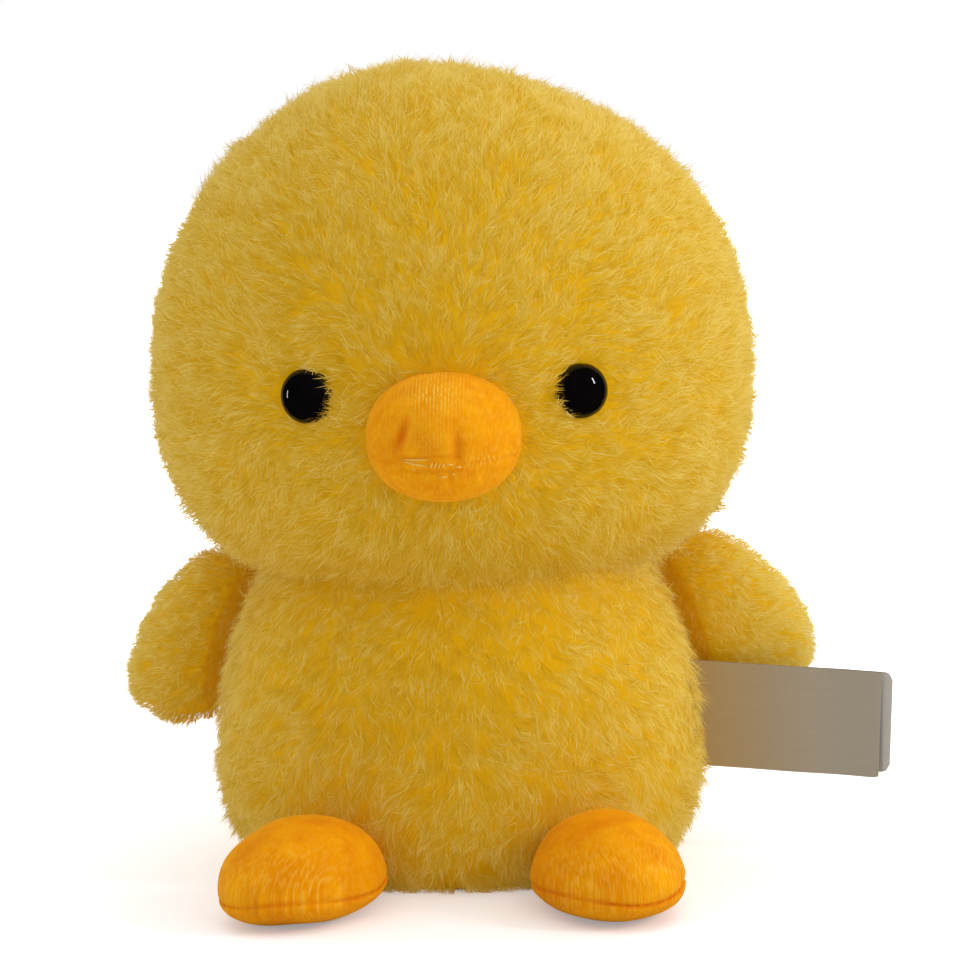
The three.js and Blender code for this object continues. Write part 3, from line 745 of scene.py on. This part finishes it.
def grow_pile(form, seconds, clumps, lay_of, length_of, painted_shade_of, keep_of, centre, seed):
    """Strands in clumps on a surface. A strand has a root, a bend and a tip: it leans from the normal into
    the lay, leans further and curls sideways after the bend, and is drawn towards the first strand of its
    clump. Strays are thicker and paler, turn further aside and lie on top.
    At the bend it is a low roof: two corners wide, flat underneath, with a ridge above."""
    rng = np.random.default_rng(seed)
    first, second = scatter(form, clumps, ((0, FULL_TURN), seconds), rng)
    clumps = len(first)
    _, along, across, _ = tangents(form, first, second)
    owner = np.repeat(np.arange(clumps), STRANDS_PER_CLUMP)
    total = len(owner)
    spread = rng.normal(size=(total, 2)) * CLUMP_RADIUS
    sizes = np.stack([np.linalg.norm(along, axis=-1), np.linalg.norm(across, axis=-1)], 1)
    shift = spread / np.maximum(sizes, 1e-3)[owner]
    is_heart = np.concatenate([[True], owner[1:] != owner[:-1]])
    shift[is_heart] = 0
    root, _, _, normal = tangents(form, first[owner] + shift[:, 0], second[owner] + shift[:, 1])
    normal *= np.sign(np.sum(normal * (root - centre), axis=-1, keepdims=True))

    lay = lay_of(root)
    lay = unit(lay - normal * np.sum(lay * normal, axis=-1, keepdims=True))
    side = np.cross(normal, lay)
    turn = (0.35 * ripple(root, 0.030, seed + 1) + 0.15 * ripple(root, 0.009, seed + 2)
            + rng.normal(0, 0.25, clumps)[owner] + rng.normal(0, 0.28, total))
    curl = rng.normal(0, 0.28, clumps)[owner] + rng.normal(0, 0.32, total)
    stray = rng.uniform(size=total) < STRAY_SHARE
    turn += stray * rng.normal(0, 0.45, total)
    curl += stray * rng.normal(0, 0.6, total)
    length = PILE_LENGTH * length_of(root) * (1 + 0.08 * ripple(root, 0.012, seed + 3)).clip(0.7, 1.3)
    length *= rng.normal(1, 0.16, total).clip(0.6, 1.4)
    upright = UPRIGHT_DEG * (rng.uniform(size=clumps) < UPRIGHT_SHARE)
    tilt = rng.normal(0, 5, clumps)[owner] + rng.normal(0, 5, total) - upright[owner] - 6 * stray

    heart = np.flatnonzero(is_heart)[owner]
    gather = rng.uniform(0.15, 0.7, clumps)[owner][:, None]
    stations = [root]
    for step, lean in enumerate(STRAND_LEANS_DEG):
        lean_angle = np.radians(lean + tilt)[:, None]
        way = lay * np.cos(turn + step * curl)[:, None] + side * np.sin(turn + step * curl)[:, None]
        leg = normal * np.cos(lean_angle) + way * np.sin(lean_angle)
        stations.append(stations[-1] + leg * length[:, None] / 2)
    stations = [station + (station[heart] - station) * gather * draw
                for station, draw in zip(stations, (0, 0.4, 1))]

    keep = keep_of(root)
    root, bend, tip = (station[keep] for station in stations)
    normal, owner, stray = normal[keep], owner[keep], stray[keep]
    count = len(root)
    thick = (STRAND_RADIUS * rng.uniform(0.6, 1.4, count) * (1 + 0.5 * stray))[:, None]
    edge = unit(np.cross(normal, tip - root)) * thick
    points = np.stack([root - normal * BACKING, bend + edge, bend - edge, bend + normal * thick, tip], 1)
    # Tone: painted shade and light from the place on the surface, with random tone per clump and per
    # strand, paler for strays
    tone = painted_shade_of(root) + rng.normal(0, 0.34, clumps)[owner] + rng.normal(0, 0.20, count) + 0.35 * stray
    uv = np.empty((count, STRAND_CORNERS, 2))
    uv[..., 0] = tone.clip(0.03, 0.97)[:, None] + STRAND_MAP_U
    uv[..., 1] = STRAND_MAP_V
    return (points, normal, uv), root


def pile_piece(name, strands, mask, body):
    """Mesh of the strands in a mask, with soft shading normals and the strand map: tone along U, tops in
    the left half and undersides in the right, and the way from root to tip along V. Light passes between
    real fibres and through them, so the cloth under the strands stops the light and the strands don't."""
    points, normals, uv = (part[mask] for part in strands)
    count = len(points)
    triangles = (np.arange(count)[:, None, None] * STRAND_CORNERS + STRAND_TRIANGLES).reshape(-1, 3)
    piece = new_piece(name, points.reshape(-1, 3), triangles, body, pile)
    corners = uv.reshape(-1, 2)[triangles].reshape(count, len(STRAND_TRIANGLES), 3, 2) * np.array([0.5, 1])
    corners[:, STRAND_TOPS:, :, 0] += 0.5
    for layer in ("Pile", "OFBake"):
        piece.data.uv_layers.new(name=layer).data.foreach_set("uv", corners.astype(np.float32).ravel())
    soft = np.repeat(normals, STRAND_CORNERS, axis=0)
    piece.data.normals_split_custom_set_from_vertices(soft.astype(np.float32))
    piece.visible_shadow = False
    piece.visible_diffuse = False


def side_faces(points, seam_y):
    """Masks of the four panels that meet at the centre seam and the side seams."""
    return {(face, side): (np.sign(points[:, 0]) == way_x) & (np.sign(points[:, 1] - seam_y) == way_y)
            for face, way_y in FACES.items() for side, way_x in SIDES.items()}


# Head and body covers

def make_cover(body, form, ups, seam_y, centre_y, half_y):
    """Four cloth panels, each from the centre seam round to the side seam's angle at each height."""
    edge = np.arcsin(np.clip((seam_y - centre_y) / half_y, -1, 1))[:, None]
    ups = np.repeat(ups[:, None], PANEL_COLUMNS, axis=1)
    for face, way_y in FACES.items():
        for side, way_x in SIDES.items():
            centre = way_y * np.pi / 2
            around = centre + (edge - centre) * np.linspace(0, 1, PANEL_COLUMNS)
            around = around if way_x > 0 else np.pi - around
            points, triangles = closed_shell(form(around, ups), form(around, ups, COVER_LINING))
            soft_piece(f"{body}_{face}_cloth_{side}", points, triangles, body, backing,
                       f"{body}_{face}_panel_{side}")


def head_lay(points):
    """Away from the beak over the face, and downwards behind."""
    start = np.array([0, head_low[1], beak_centre[2] + 0.006])
    behind = np.clip((points[:, 1] - 0.01) / 0.05, 0, 1)[:, None]
    return unit(points - start) * (1 - behind) - UP * behind


def head_length(points):
    """Pile trimmed close round the eyes and longer low on the sides, where it covers the wings' tops."""
    share = 1 + 0.35 * np.clip((head_centre[2] - 0.030 - points[:, 2]) / 0.015, 0, 1)
    for seat, *_ in eye_seats.values():
        away = np.linalg.norm(points - seat, axis=-1)
        share *= 0.7 + 0.3 * np.clip((away - 0.008) / 0.010, 0, 1)
    return share


def head_painted_shade(points):
    """Painted shade and light in the pile's tone: deeper in the middle of the face and under the chin as
    painted shade, paler towards the crown, sides and back as painted rim light.
    """
    facing = np.clip((head_centre[1] - points[:, 1]) / head_half[1], 0, 1)
    under = np.clip((head_centre[2] - 0.035 - points[:, 2]) / 0.02, 0, 1)
    return 0.70 - 0.56 * facing ** 2 - 0.5 * under


def head_keep(points):
    """Pile grows outside the cup of the neck, the beak's base and the eyes."""
    keep = np.linalg.norm(points - neck_pivot, axis=-1) > cup_radius + CUP_SHARE * PILE_DEPTH + 0.0003
    across = (points[:, 0] - beak_centre[0]) / BEAK_HALF[0]
    above = (points[:, 2] - beak_centre[2]) / (BEAK_HEIGHT / 2)
    keep &= (across ** 2 + above ** 2 > 0.86) | (points[:, 1] > beak_centre[1] + 0.05)
    for seat, out, *_ in eye_seats.values():
        offset = points - seat
        ahead = offset @ out
        aside = np.linalg.norm(offset - ahead[:, None] * out, axis=-1)
        keep &= (aside > EYE_RADIUS) | (ahead < -0.03)
    return keep


def make_head():
    """Head cover in four panels with its filling and its pile."""
    ups = np.linspace(HEAD_LOWEST, 1, HEAD_ROWS)
    half_y = np.maximum(head_half[1] * np.cos(ups * np.pi / 2), WELD_GAP)
    make_cover("head", head_form, ups, HEAD_SIDE_SEAM_Y, head_centre[1], half_y)
    make_filling("head", head_form(*turns(STUFFING_GRID, -1, 1), COVER_FILLING), "head")
    strands, root = grow_pile(
        head_form, HEAD_PILE_RISE, HEAD_CLUMPS, head_lay, head_length, head_painted_shade, head_keep, head_centre,
        HEAD_SEED)
    upper = root[:, 2] >= head_centre[2]
    for (face, side), mask in side_faces(root, HEAD_SIDE_SEAM_Y).items():
        for level, part in (("upper", upper), ("lower", ~upper)):
            pile_piece(f"head_{face}_{level}_pile_{side}", strands, mask & part, "head")


def body_lay(points):
    """Downwards, spreading a little from the middle of the belly."""
    return points * np.array([6, 0, 0]) - UP


def body_painted_shade(points):
    """Painted shade and light in the pile's tone: deepest at the front under the chin as painted shade,
    paler towards the sides and the back as painted rim light, and paler towards the seat.
    """
    facing = np.clip(-points[:, 1] / BELLY_HALF[1], 0, 1)
    low = np.clip((SHOULDER_HEIGHT - points[:, 2]) / SHOULDER_HEIGHT, 0, 1)
    return 0.50 - 0.50 * facing ** 2 + 0.34 * low


def make_body():
    """Body cover in four panels with the seat panel, the filling and the pile."""
    ups = np.linspace(0, BODY_HIGHEST, BODY_ROWS)
    make_cover("body", body_form, ups, SIDE_SEAM_Y, 0, body_form(np.full_like(ups, np.pi / 2), ups)[:, 1])
    around, share = turns(SEAT_GRID, 1, 0)
    high = span(["body_base_panel"])[1]
    disc = np.stack([high[0] * np.cos(around), high[1] * np.sin(around), 0 * around], -1) * share[..., None]
    points, triangles = lined_cap(disc + UP * FLOOR_GAP, disc + UP * high[2])
    soft_piece("seat_cloth", points, triangles, "body", backing, "body_base_panel")
    filling = body_form(*turns(STUFFING_GRID, 0, 1), COVER_FILLING)
    filling[..., 2] = np.maximum(filling[..., 2], SEAT_FILLING_HEIGHT)
    floor = filling[:1].mean(axis=(0, 1)) + 0 * filling[:1]
    make_filling("body", np.concatenate([floor, filling]), "body")
    strands, root = grow_pile(
        body_form, BODY_PILE_RISE, BODY_CLUMPS, body_lay, lambda p: np.ones(len(p)), body_painted_shade,
        lambda p: p[:, 2] < BODY_PILE_TOP, BODY_MIDDLE, BODY_SEED)
    heights = strands[0][..., 2]
    np.maximum(heights, FLOOR_GAP, out=heights)
    for (face, side), mask in side_faces(root, SIDE_SEAM_Y).items():
        pile_piece(f"body_{face}_pile_{side}", strands, mask, "body")


# Wings

def make_wing(side):
    """Wing: front and back cloth round a filling, with pile that flows from root to tip; its tone is
    painted shade, deep at the root where the wing meets the body, and painted light, paler the further out."""
    start, out, down, thick = wing_axes(side)
    body = f"wing_{side}"
    facing = np.sign(thick[1])
    around, through = turns(WING_CLOTH_GRID, 0, 1)
    for face, way in FACES.items():
        place = (around, way * facing * through, side)
        points, triangles = lined_cap(wing_form(*place), wing_form(*place, WING_LINING))
        soft_piece(f"{body}_{face}_cloth", points, triangles, body, backing,
                   f"{body}_{face}_panel")
    make_filling(body, wing_form(*turns(WING_STUFFING_GRID, -1, 1), side, WING_FILLING), body)
    centre = start + out * WING_OUT[side] + down * WING_DOWN[side]
    strands, root = grow_pile(
        lambda a, t: wing_form(a, t, side), WING_PILE_THROUGH, WING_CLUMPS,
        lambda p: out + 0.8 * down + 0 * p, lambda p: np.full(len(p), WING_PILE_SHARE),
        # Painted shade at the root and painted light towards the tip
        lambda p: 1.8 * np.clip((p - start) @ out / (2 * WING_HALF[0]), 0, 1) - 0.3,
        lambda p: (p - start) @ out > -0.001, centre, WING_SEEDS[side])
    front = (root - centre) @ thick * facing < 0
    for face, mask in (("front", front), ("back", ~front)):
        pile_piece(f"{body}_{face}_pile", strands, mask, body)


# Beak and feet

def velour_pair(prefix, faces, body, form, place, seam, nap_of, lengthwise):
    """Upper and lower velour panels of a stuffed form, divided at a level of its rise, with the filling
    between. The nap map counts rib pitches across the piece along U and lengthwise along V."""
    for face, end in zip(faces, (1, -1)):
        shell = form(*turns(VELOUR_GRID, seam, end))
        lining = form(*turns(VELOUR_LINING_GRID, seam, end), VELOUR_LINING)
        points, triangles = lined_cap(place(shell), place(lining))
        piece, kept = soft_piece(f"{prefix}_{face}", points, triangles, body, velour,
                                 f"{prefix}_{face}_panel")
        local = np.concatenate([shell.reshape(-1, 3), lining.reshape(-1, 3)])[kept]
        for name, value in nap_of(local).items():
            layer = piece.data.attributes.new(name, "FLOAT", "POINT")
            layer.data.foreach_set("value", value.astype(np.float32))
        nap = local[:, [0, lengthwise]] / RIB_PITCH
        corners = np.empty(len(piece.data.loops), np.int32)
        piece.data.loops.foreach_get("vertex_index", corners)
        piece.data.uv_layers.new(name="Nap").data.foreach_set("uv", nap[corners].astype(np.float32).ravel())
    make_filling(prefix, place(form(*turns(VELOUR_STUFFING_GRID, -1, 1), VELOUR_FILLING)), body)


def beak_form(around, rise, inset=0.0):
    """Beak about its own middle."""
    half_height = BEAK_HEIGHT / 2
    return velour_form(around, rise, BEAK_HALF, (half_height, half_height), (BEAK_POWER, BEAK_POWER),
                       beak_relief, inset)


def beak_nap(points):
    """How far the painted crease shade, ribs and streaks show: ribs on the upper beak, fading towards the
    mouth, faint streaks that are stronger at the mouth's left end, and painted shade where the mouth is
    drawn in."""
    x, z = points[:, 0], points[:, 2]
    ribs = bump(x + 0.0017, 0.0115) ** 2 * bump(z - 0.0138, 0.0042)
    ribs += 0.28 * bump(x + 0.003, 0.009) * bump(z - 0.003, 0.006)
    streaks = 0.14 + 0.35 * bump(z + BEAK_SEAM_LOW - 0.10 * (x - 0.008), 0.0016) * bump(x - 0.0115, 0.0055)
    # Painted shade in the creases, as deep as the mouth is drawn in
    crease = np.clip(-beak_relief(points) / 0.0019, 0, 1)
    return {"crease": crease, "ribs": ribs.clip(0, 1), "streaks": streaks}


def make_beak():
    """Beak: an upper and a lower velour panel meeting at the mouth."""
    seam = -2 / np.pi * math.atan2(BEAK_SEAM_LOW, BEAK_HEIGHT / 2)
    velour_pair("beak", ("upper", "lower"), "head", beak_form, lambda p: p + beak_centre, seam, beak_nap, 2)


def make_stitches():
    """Mouth stitches: short threads laid over the beak's front, each a tapered tube on a straight path."""
    ends = np.array(BEAK_STITCHES) / 1000
    steps = 9
    along_thread = np.linspace(0, 1, steps)
    share = along_thread[None, :, None]
    path = ends[:, None, :2] * (1 - share) + ends[:, None, 2:] * share
    x, z = path[..., 0], path[..., 1] - BEAK_SEAM_LOW
    level = (1 - np.abs(z / (BEAK_HEIGHT / 2)) ** BEAK_POWER) ** (1 / BEAK_POWER)
    y = -BEAK_HALF[1] * np.sqrt(level ** 2 - (x / BEAK_HALF[0]) ** 2)
    middle = np.stack([x, y, z], -1)
    middle[..., 1] -= beak_relief(middle) + THREAD_LIFT
    along = unit(np.gradient(middle, axis=1))
    side = unit(np.cross(along, np.array([0, -1.0, 0])))
    out = np.cross(side, along)
    around = np.linspace(0, FULL_TURN, steps)
    thick = (THREAD_RADIUS * np.sin(np.pi * along_thread) ** 0.5)[None, :, None, None]
    ring = side[:, :, None] * np.cos(around)[:, None] + out[:, :, None] * np.sin(around)[:, None]
    tubes = beak_centre + middle[:, :, None] + thick * ring
    starts = np.arange(len(ends))[:, None, None] * steps ** 2
    triangles = (starts + grid_triangles(steps, steps)).reshape(-1, 3)
    closed_piece("beak_stitches", tubes.reshape(-1, 3), triangles, "head", thread)


def foot_nap(points, relief):
    """How far the painted crease shade, ribs and streaks show: no ribs, fine streaks on the toe and across
    the seam, and painted shade where the seam is drawn in.
    """
    toe = bump(points[:, 1] + 0.020, 0.014) * bump(points[:, 2] - 0.006, 0.009)
    streaks = 0.06 + 0.30 * toe + 0.06 * bump(points[:, 2] + 0.002, 0.0025)
    # Painted shade in the creases, as deep as the seam is drawn in
    return {"crease": np.clip(-relief / 0.0012, 0, 1), "ribs": np.zeros(len(points)), "streaks": streaks}


def make_foot(side):
    """Foot: a domed top and a shallow sole, turned outwards."""
    turn = SIDES[side] * math.radians(FOOT_TURN_DEG[side])
    c, s = math.cos(turn), math.sin(turn)
    rotate = np.array([[c, -s, 0], [s, c, 0], [0, 0, 1]])
    spread = math.radians(FOOT_SPREAD_DEG)
    centre = np.array([
        SIDES[side] * FOOT_REACH * math.sin(spread), -FOOT_REACH * math.cos(spread), FOOT_SEAM_HEIGHT])
    heights = (FOOT_RISE, FOOT_SEAM_HEIGHT + SOLE_PRESS)

    def relief(points):
        return foot_relief(points, FOOT_SEED + SIDES[side])

    def form(around, rise, inset=0.0):
        return velour_form(around, rise, FOOT_HALF, heights, FOOT_POWERS, relief, inset)

    def place(points):
        moved = points @ rotate.T + centre
        moved[..., 2] = np.maximum(moved[..., 2], 0)
        return moved

    body = f"foot_{side}"
    velour_pair(body, ("top", "sole"), body, form, place, 0.0, lambda p: foot_nap(p, relief(p)), 1)


# Eyes and neck

def make_eye(side):
    """Eye: a dome on a rim and a stem, as one profile carried round the line that leaves the face."""
    bend = np.linspace(0, np.pi / 2, 28)
    height = EYE_RIM + (EYE_DOME - EYE_RIM) * np.sin(bend) - EYE_SINK
    dome = np.stack([EYE_RADIUS * np.cos(bend), height], 1)
    shank = np.array([
        [0, STEM_END], [STEM_RADIUS - EYE_EASE, STEM_END], [STEM_RADIUS, STEM_END + EYE_EASE],
        [STEM_RADIUS, -EYE_SINK], [EYE_RADIUS - EYE_EASE, -EYE_SINK], [EYE_RADIUS, EYE_EASE - EYE_SINK]])
    form = lathe(np.concatenate([shank, dome]), *eye_seats[side])
    closed_piece(f"eye_{side}_dome", form.reshape(-1, 3), grid_triangles(*form.shape[:2]), "head",
                 eye_plastic, f"eye_{side}")
    washer = frame["nodes"][f"eye_washer_{side}"].data.materials
    washer.clear()
    washer.append(washer_plastic)


def make_neck():
    """Filling in the neck opening: a rounded plug, its radius a low power of the sine along its height."""
    low, high = span(["neck_stuffing"])
    along = np.linspace(0, np.pi, 25)
    height = (low[2] + high[2] - (high[2] - low[2]) * np.cos(along)) / 2
    profile = np.stack([high[0] * np.sin(along) ** 0.35, height], 1)
    across, deep, up = np.eye(3)
    make_filling("neck", lathe(profile, np.zeros(3), up, across, deep), "neck")


# Label

def make_leaf(face, way):
    """Leaf of the label, the back one longer: a thin sheet in the label's own plane that hangs from the
    side seam, its outer corners eased by a quarter circle and its face waved more towards the free end."""
    back = way > 0
    length = LABEL_SIZE[0] + LABEL_BACK_OVERHANG * back
    bottom = LABEL_BACK_SHORTER * back - LABEL_SIZE[1] / 2
    place = joint("label_swing")[0]
    forward, droop = math.radians(LABEL_FORWARD_DEG), math.radians(LABEL_DROOP_DEG)
    c, s = math.cos(forward), math.sin(forward)
    out = np.array([c * math.cos(droop), -s * math.cos(droop), -math.sin(droop)])
    behind = np.array([s, c, 0])
    up = np.cross(out, behind)
    columns, rows = LABEL_GRID
    far, share = np.meshgrid(np.linspace(-LABEL_TUCK, length, columns), np.linspace(0, 1, rows))
    past = np.clip(far - (length - LABEL_CORNER), 0, LABEL_CORNER)
    corner = (LABEL_CORNER - np.sqrt(LABEL_CORNER ** 2 - past ** 2)) * LABEL_CORNER_SHARES[face]
    height = (bottom + corner) + (LABEL_SIZE[1] / 2 - corner - bottom - corner) * share
    free = np.clip(far / length, 0, 1)
    wave = LABEL_WAVE_HEIGHT * free * np.sin(far / LABEL_WAVE * FULL_TURN + 20 * height)
    depth = wave + LABEL_BENDS[face] * free ** 2 + way * LABEL_LEAF_GAP / 2
    middle = place + far[..., None] * out + height[..., None] * up + depth[..., None] * behind
    half = behind * LABEL_THICKNESS / 2
    points, triangles = closed_shell(middle - half, middle + half)
    piece = new_piece(f"label_{face}", points, outward(points, triangles), "label",
                      label_satin)
    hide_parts(f"label_{face}_leaf")


# Stage, light and camera

def seen_directly(tree):
    """One for rays from the camera, a mirror or glass, so that these see the white surroundings."""
    rays = add_node(tree, "LightPath").outputs
    either = calculate(tree, "MAXIMUM", rays["Is Camera Ray"], rays["Is Glossy Ray"])
    return calculate(tree, "MAXIMUM", either, rays["Is Transmission Ray"])


def make_floor():
    """White floor that keeps the shadow, brighter the further from the toy where it is seen directly."""
    mesh = bpy.data.meshes.new("floor")
    corners = [(-1, -1), (1, -1), (1, 1), (-1, 1)]
    mesh.from_pydata([(x * FLOOR_REACH, y * FLOOR_REACH, 0) for x, y in corners], [], [(0, 1, 2, 3)])
    add_object("floor", mesh)
    material, tree, shader = new_material(
        "floor_white", Base_Color=(0.86, 0.86, 0.86, 1), Roughness=0.9, Emission_Color=(1, 1, 1, 1))
    away = add_node(tree, "VectorMath", {0: object_place(tree)}, operation="LENGTH").outputs["Value"]
    far = scale_range(tree, away, 0.12, 0.40, to=(0.3, 1.0))
    shown = calculate(tree, "MULTIPLY", seen_directly(tree), far)
    tree.links.new(shown, shader.inputs["Emission Strength"])
    mesh.materials.append(material)


def make_world():
    """World that the camera sees white and that lights the toy a little more from the right, from behind
    and from above."""
    world = bpy.data.worlds.new("studio")
    bpy.context.scene.world = world
    world.use_nodes = True
    tree = world.node_tree
    back = tree.nodes["Background"]
    back.inputs["Color"].default_value = (1, 1, 1, 1)
    where = add_node(tree, "TexCoord").outputs["Generated"]
    towards = add_node(tree, "VectorMath", {0: where, 1: SKY_SLOPE}, operation="DOT_PRODUCT")
    sky = calculate(tree, "ADD", towards.outputs["Value"], SKY_LEVEL)
    level = add_node(tree, "Mix", {"Factor": seen_directly(tree), "A": sky, "B": 1.0}, data_type="FLOAT")
    tree.links.new(level.outputs["Result"], back.inputs["Strength"])


def make_lamps():
    """Strip lights to the right and to the left of the camera."""
    for name, (place, width, height, power) in LAMPS.items():
        lamp = bpy.data.lights.new(name, "AREA")
        lamp.shape = "RECTANGLE"
        lamp.size = width
        lamp.size_y = height
        lamp.energy = power
        holder = add_object(name, lamp)
        holder.location = place
        holder.rotation_euler = (Vector(LAMP_AIM) - Vector(place)).to_track_quat("-Z", "Y").to_euler()


def make_tent():
    """Dark tent that only mirrors see: a floor ring and a half sphere over the toy."""
    rise = np.linspace(0, np.pi / 2, 17)
    reach = np.concatenate([[0.02], TENT_RADIUS * np.cos(rise)])[:, None]
    height = np.concatenate([[0], TENT_RADIUS * np.sin(rise)])[:, None] + 0.003
    around = np.linspace(0, FULL_TURN, 33)
    points = np.stack([reach * np.cos(around), reach * np.sin(around), height + 0 * around], -1)
    mesh = bpy.data.meshes.new("dark_tent")
    mesh.from_pydata(points.reshape(-1, 3).tolist(), [], grid_triangles(*points.shape[:2]).tolist())
    mesh.materials.append(new_material("dark_tent", Base_Color=(0, 0, 0, 1), Specular_IOR_Level=0)[0])
    tent = add_object("dark_tent", mesh)
    for rays in ("camera", "diffuse", "shadow", "transmission"):
        setattr(tent, f"visible_{rays}", False)


def make_camera():
    """Camera at the photograph's angle, aimed so that the toy's middle falls on its pixel."""
    elevation, turn, roll = (math.radians(a) for a in (VIEW_ELEVATION_DEG, VIEW_TURN_DEG, VIEW_ROLL_DEG))
    target = Vector((0, 0, VIEW_HEIGHT))
    right = Vector((math.cos(turn), math.sin(turn), 0))
    ahead = Vector((-math.sin(turn), math.cos(turn), 0))
    back = Vector((0, 0, math.sin(elevation))) - ahead * math.cos(elevation)
    place = target + back * VIEW_DISTANCE
    metres = VIEW_DISTANCE / FOCAL_PIXELS
    aim = target + right * (IMAGE_SIZE / 2 - TARGET_PIXEL[0]) * metres
    aim += right.cross(-back) * (TARGET_PIXEL[1] - IMAGE_SIZE / 2) * metres
    data = bpy.data.cameras.new("camera")
    data.sensor_width = SENSOR_MM
    data.lens = SENSOR_MM * FOCAL_PIXELS / IMAGE_SIZE
    camera = add_object("camera", data)
    look = (aim - place).to_track_quat("-Z", "Y").to_matrix() @ Matrix.Rotation(-roll, 3, "Z")
    camera.matrix_world = look.to_4x4()
    camera.location = place
    bpy.context.scene.camera = camera


make_head()
make_body()
for each_side in SIDES:
    make_wing(each_side)
    make_foot(each_side)
    make_eye(each_side)
make_beak()
make_stitches()
make_neck()
for each_face, face_way in FACES.items():
    make_leaf(each_face, face_way)
make_floor()
make_world()
make_lamps()
make_tent()
make_camera()
bpy.context.scene.view_settings.view_transform = "Standard"
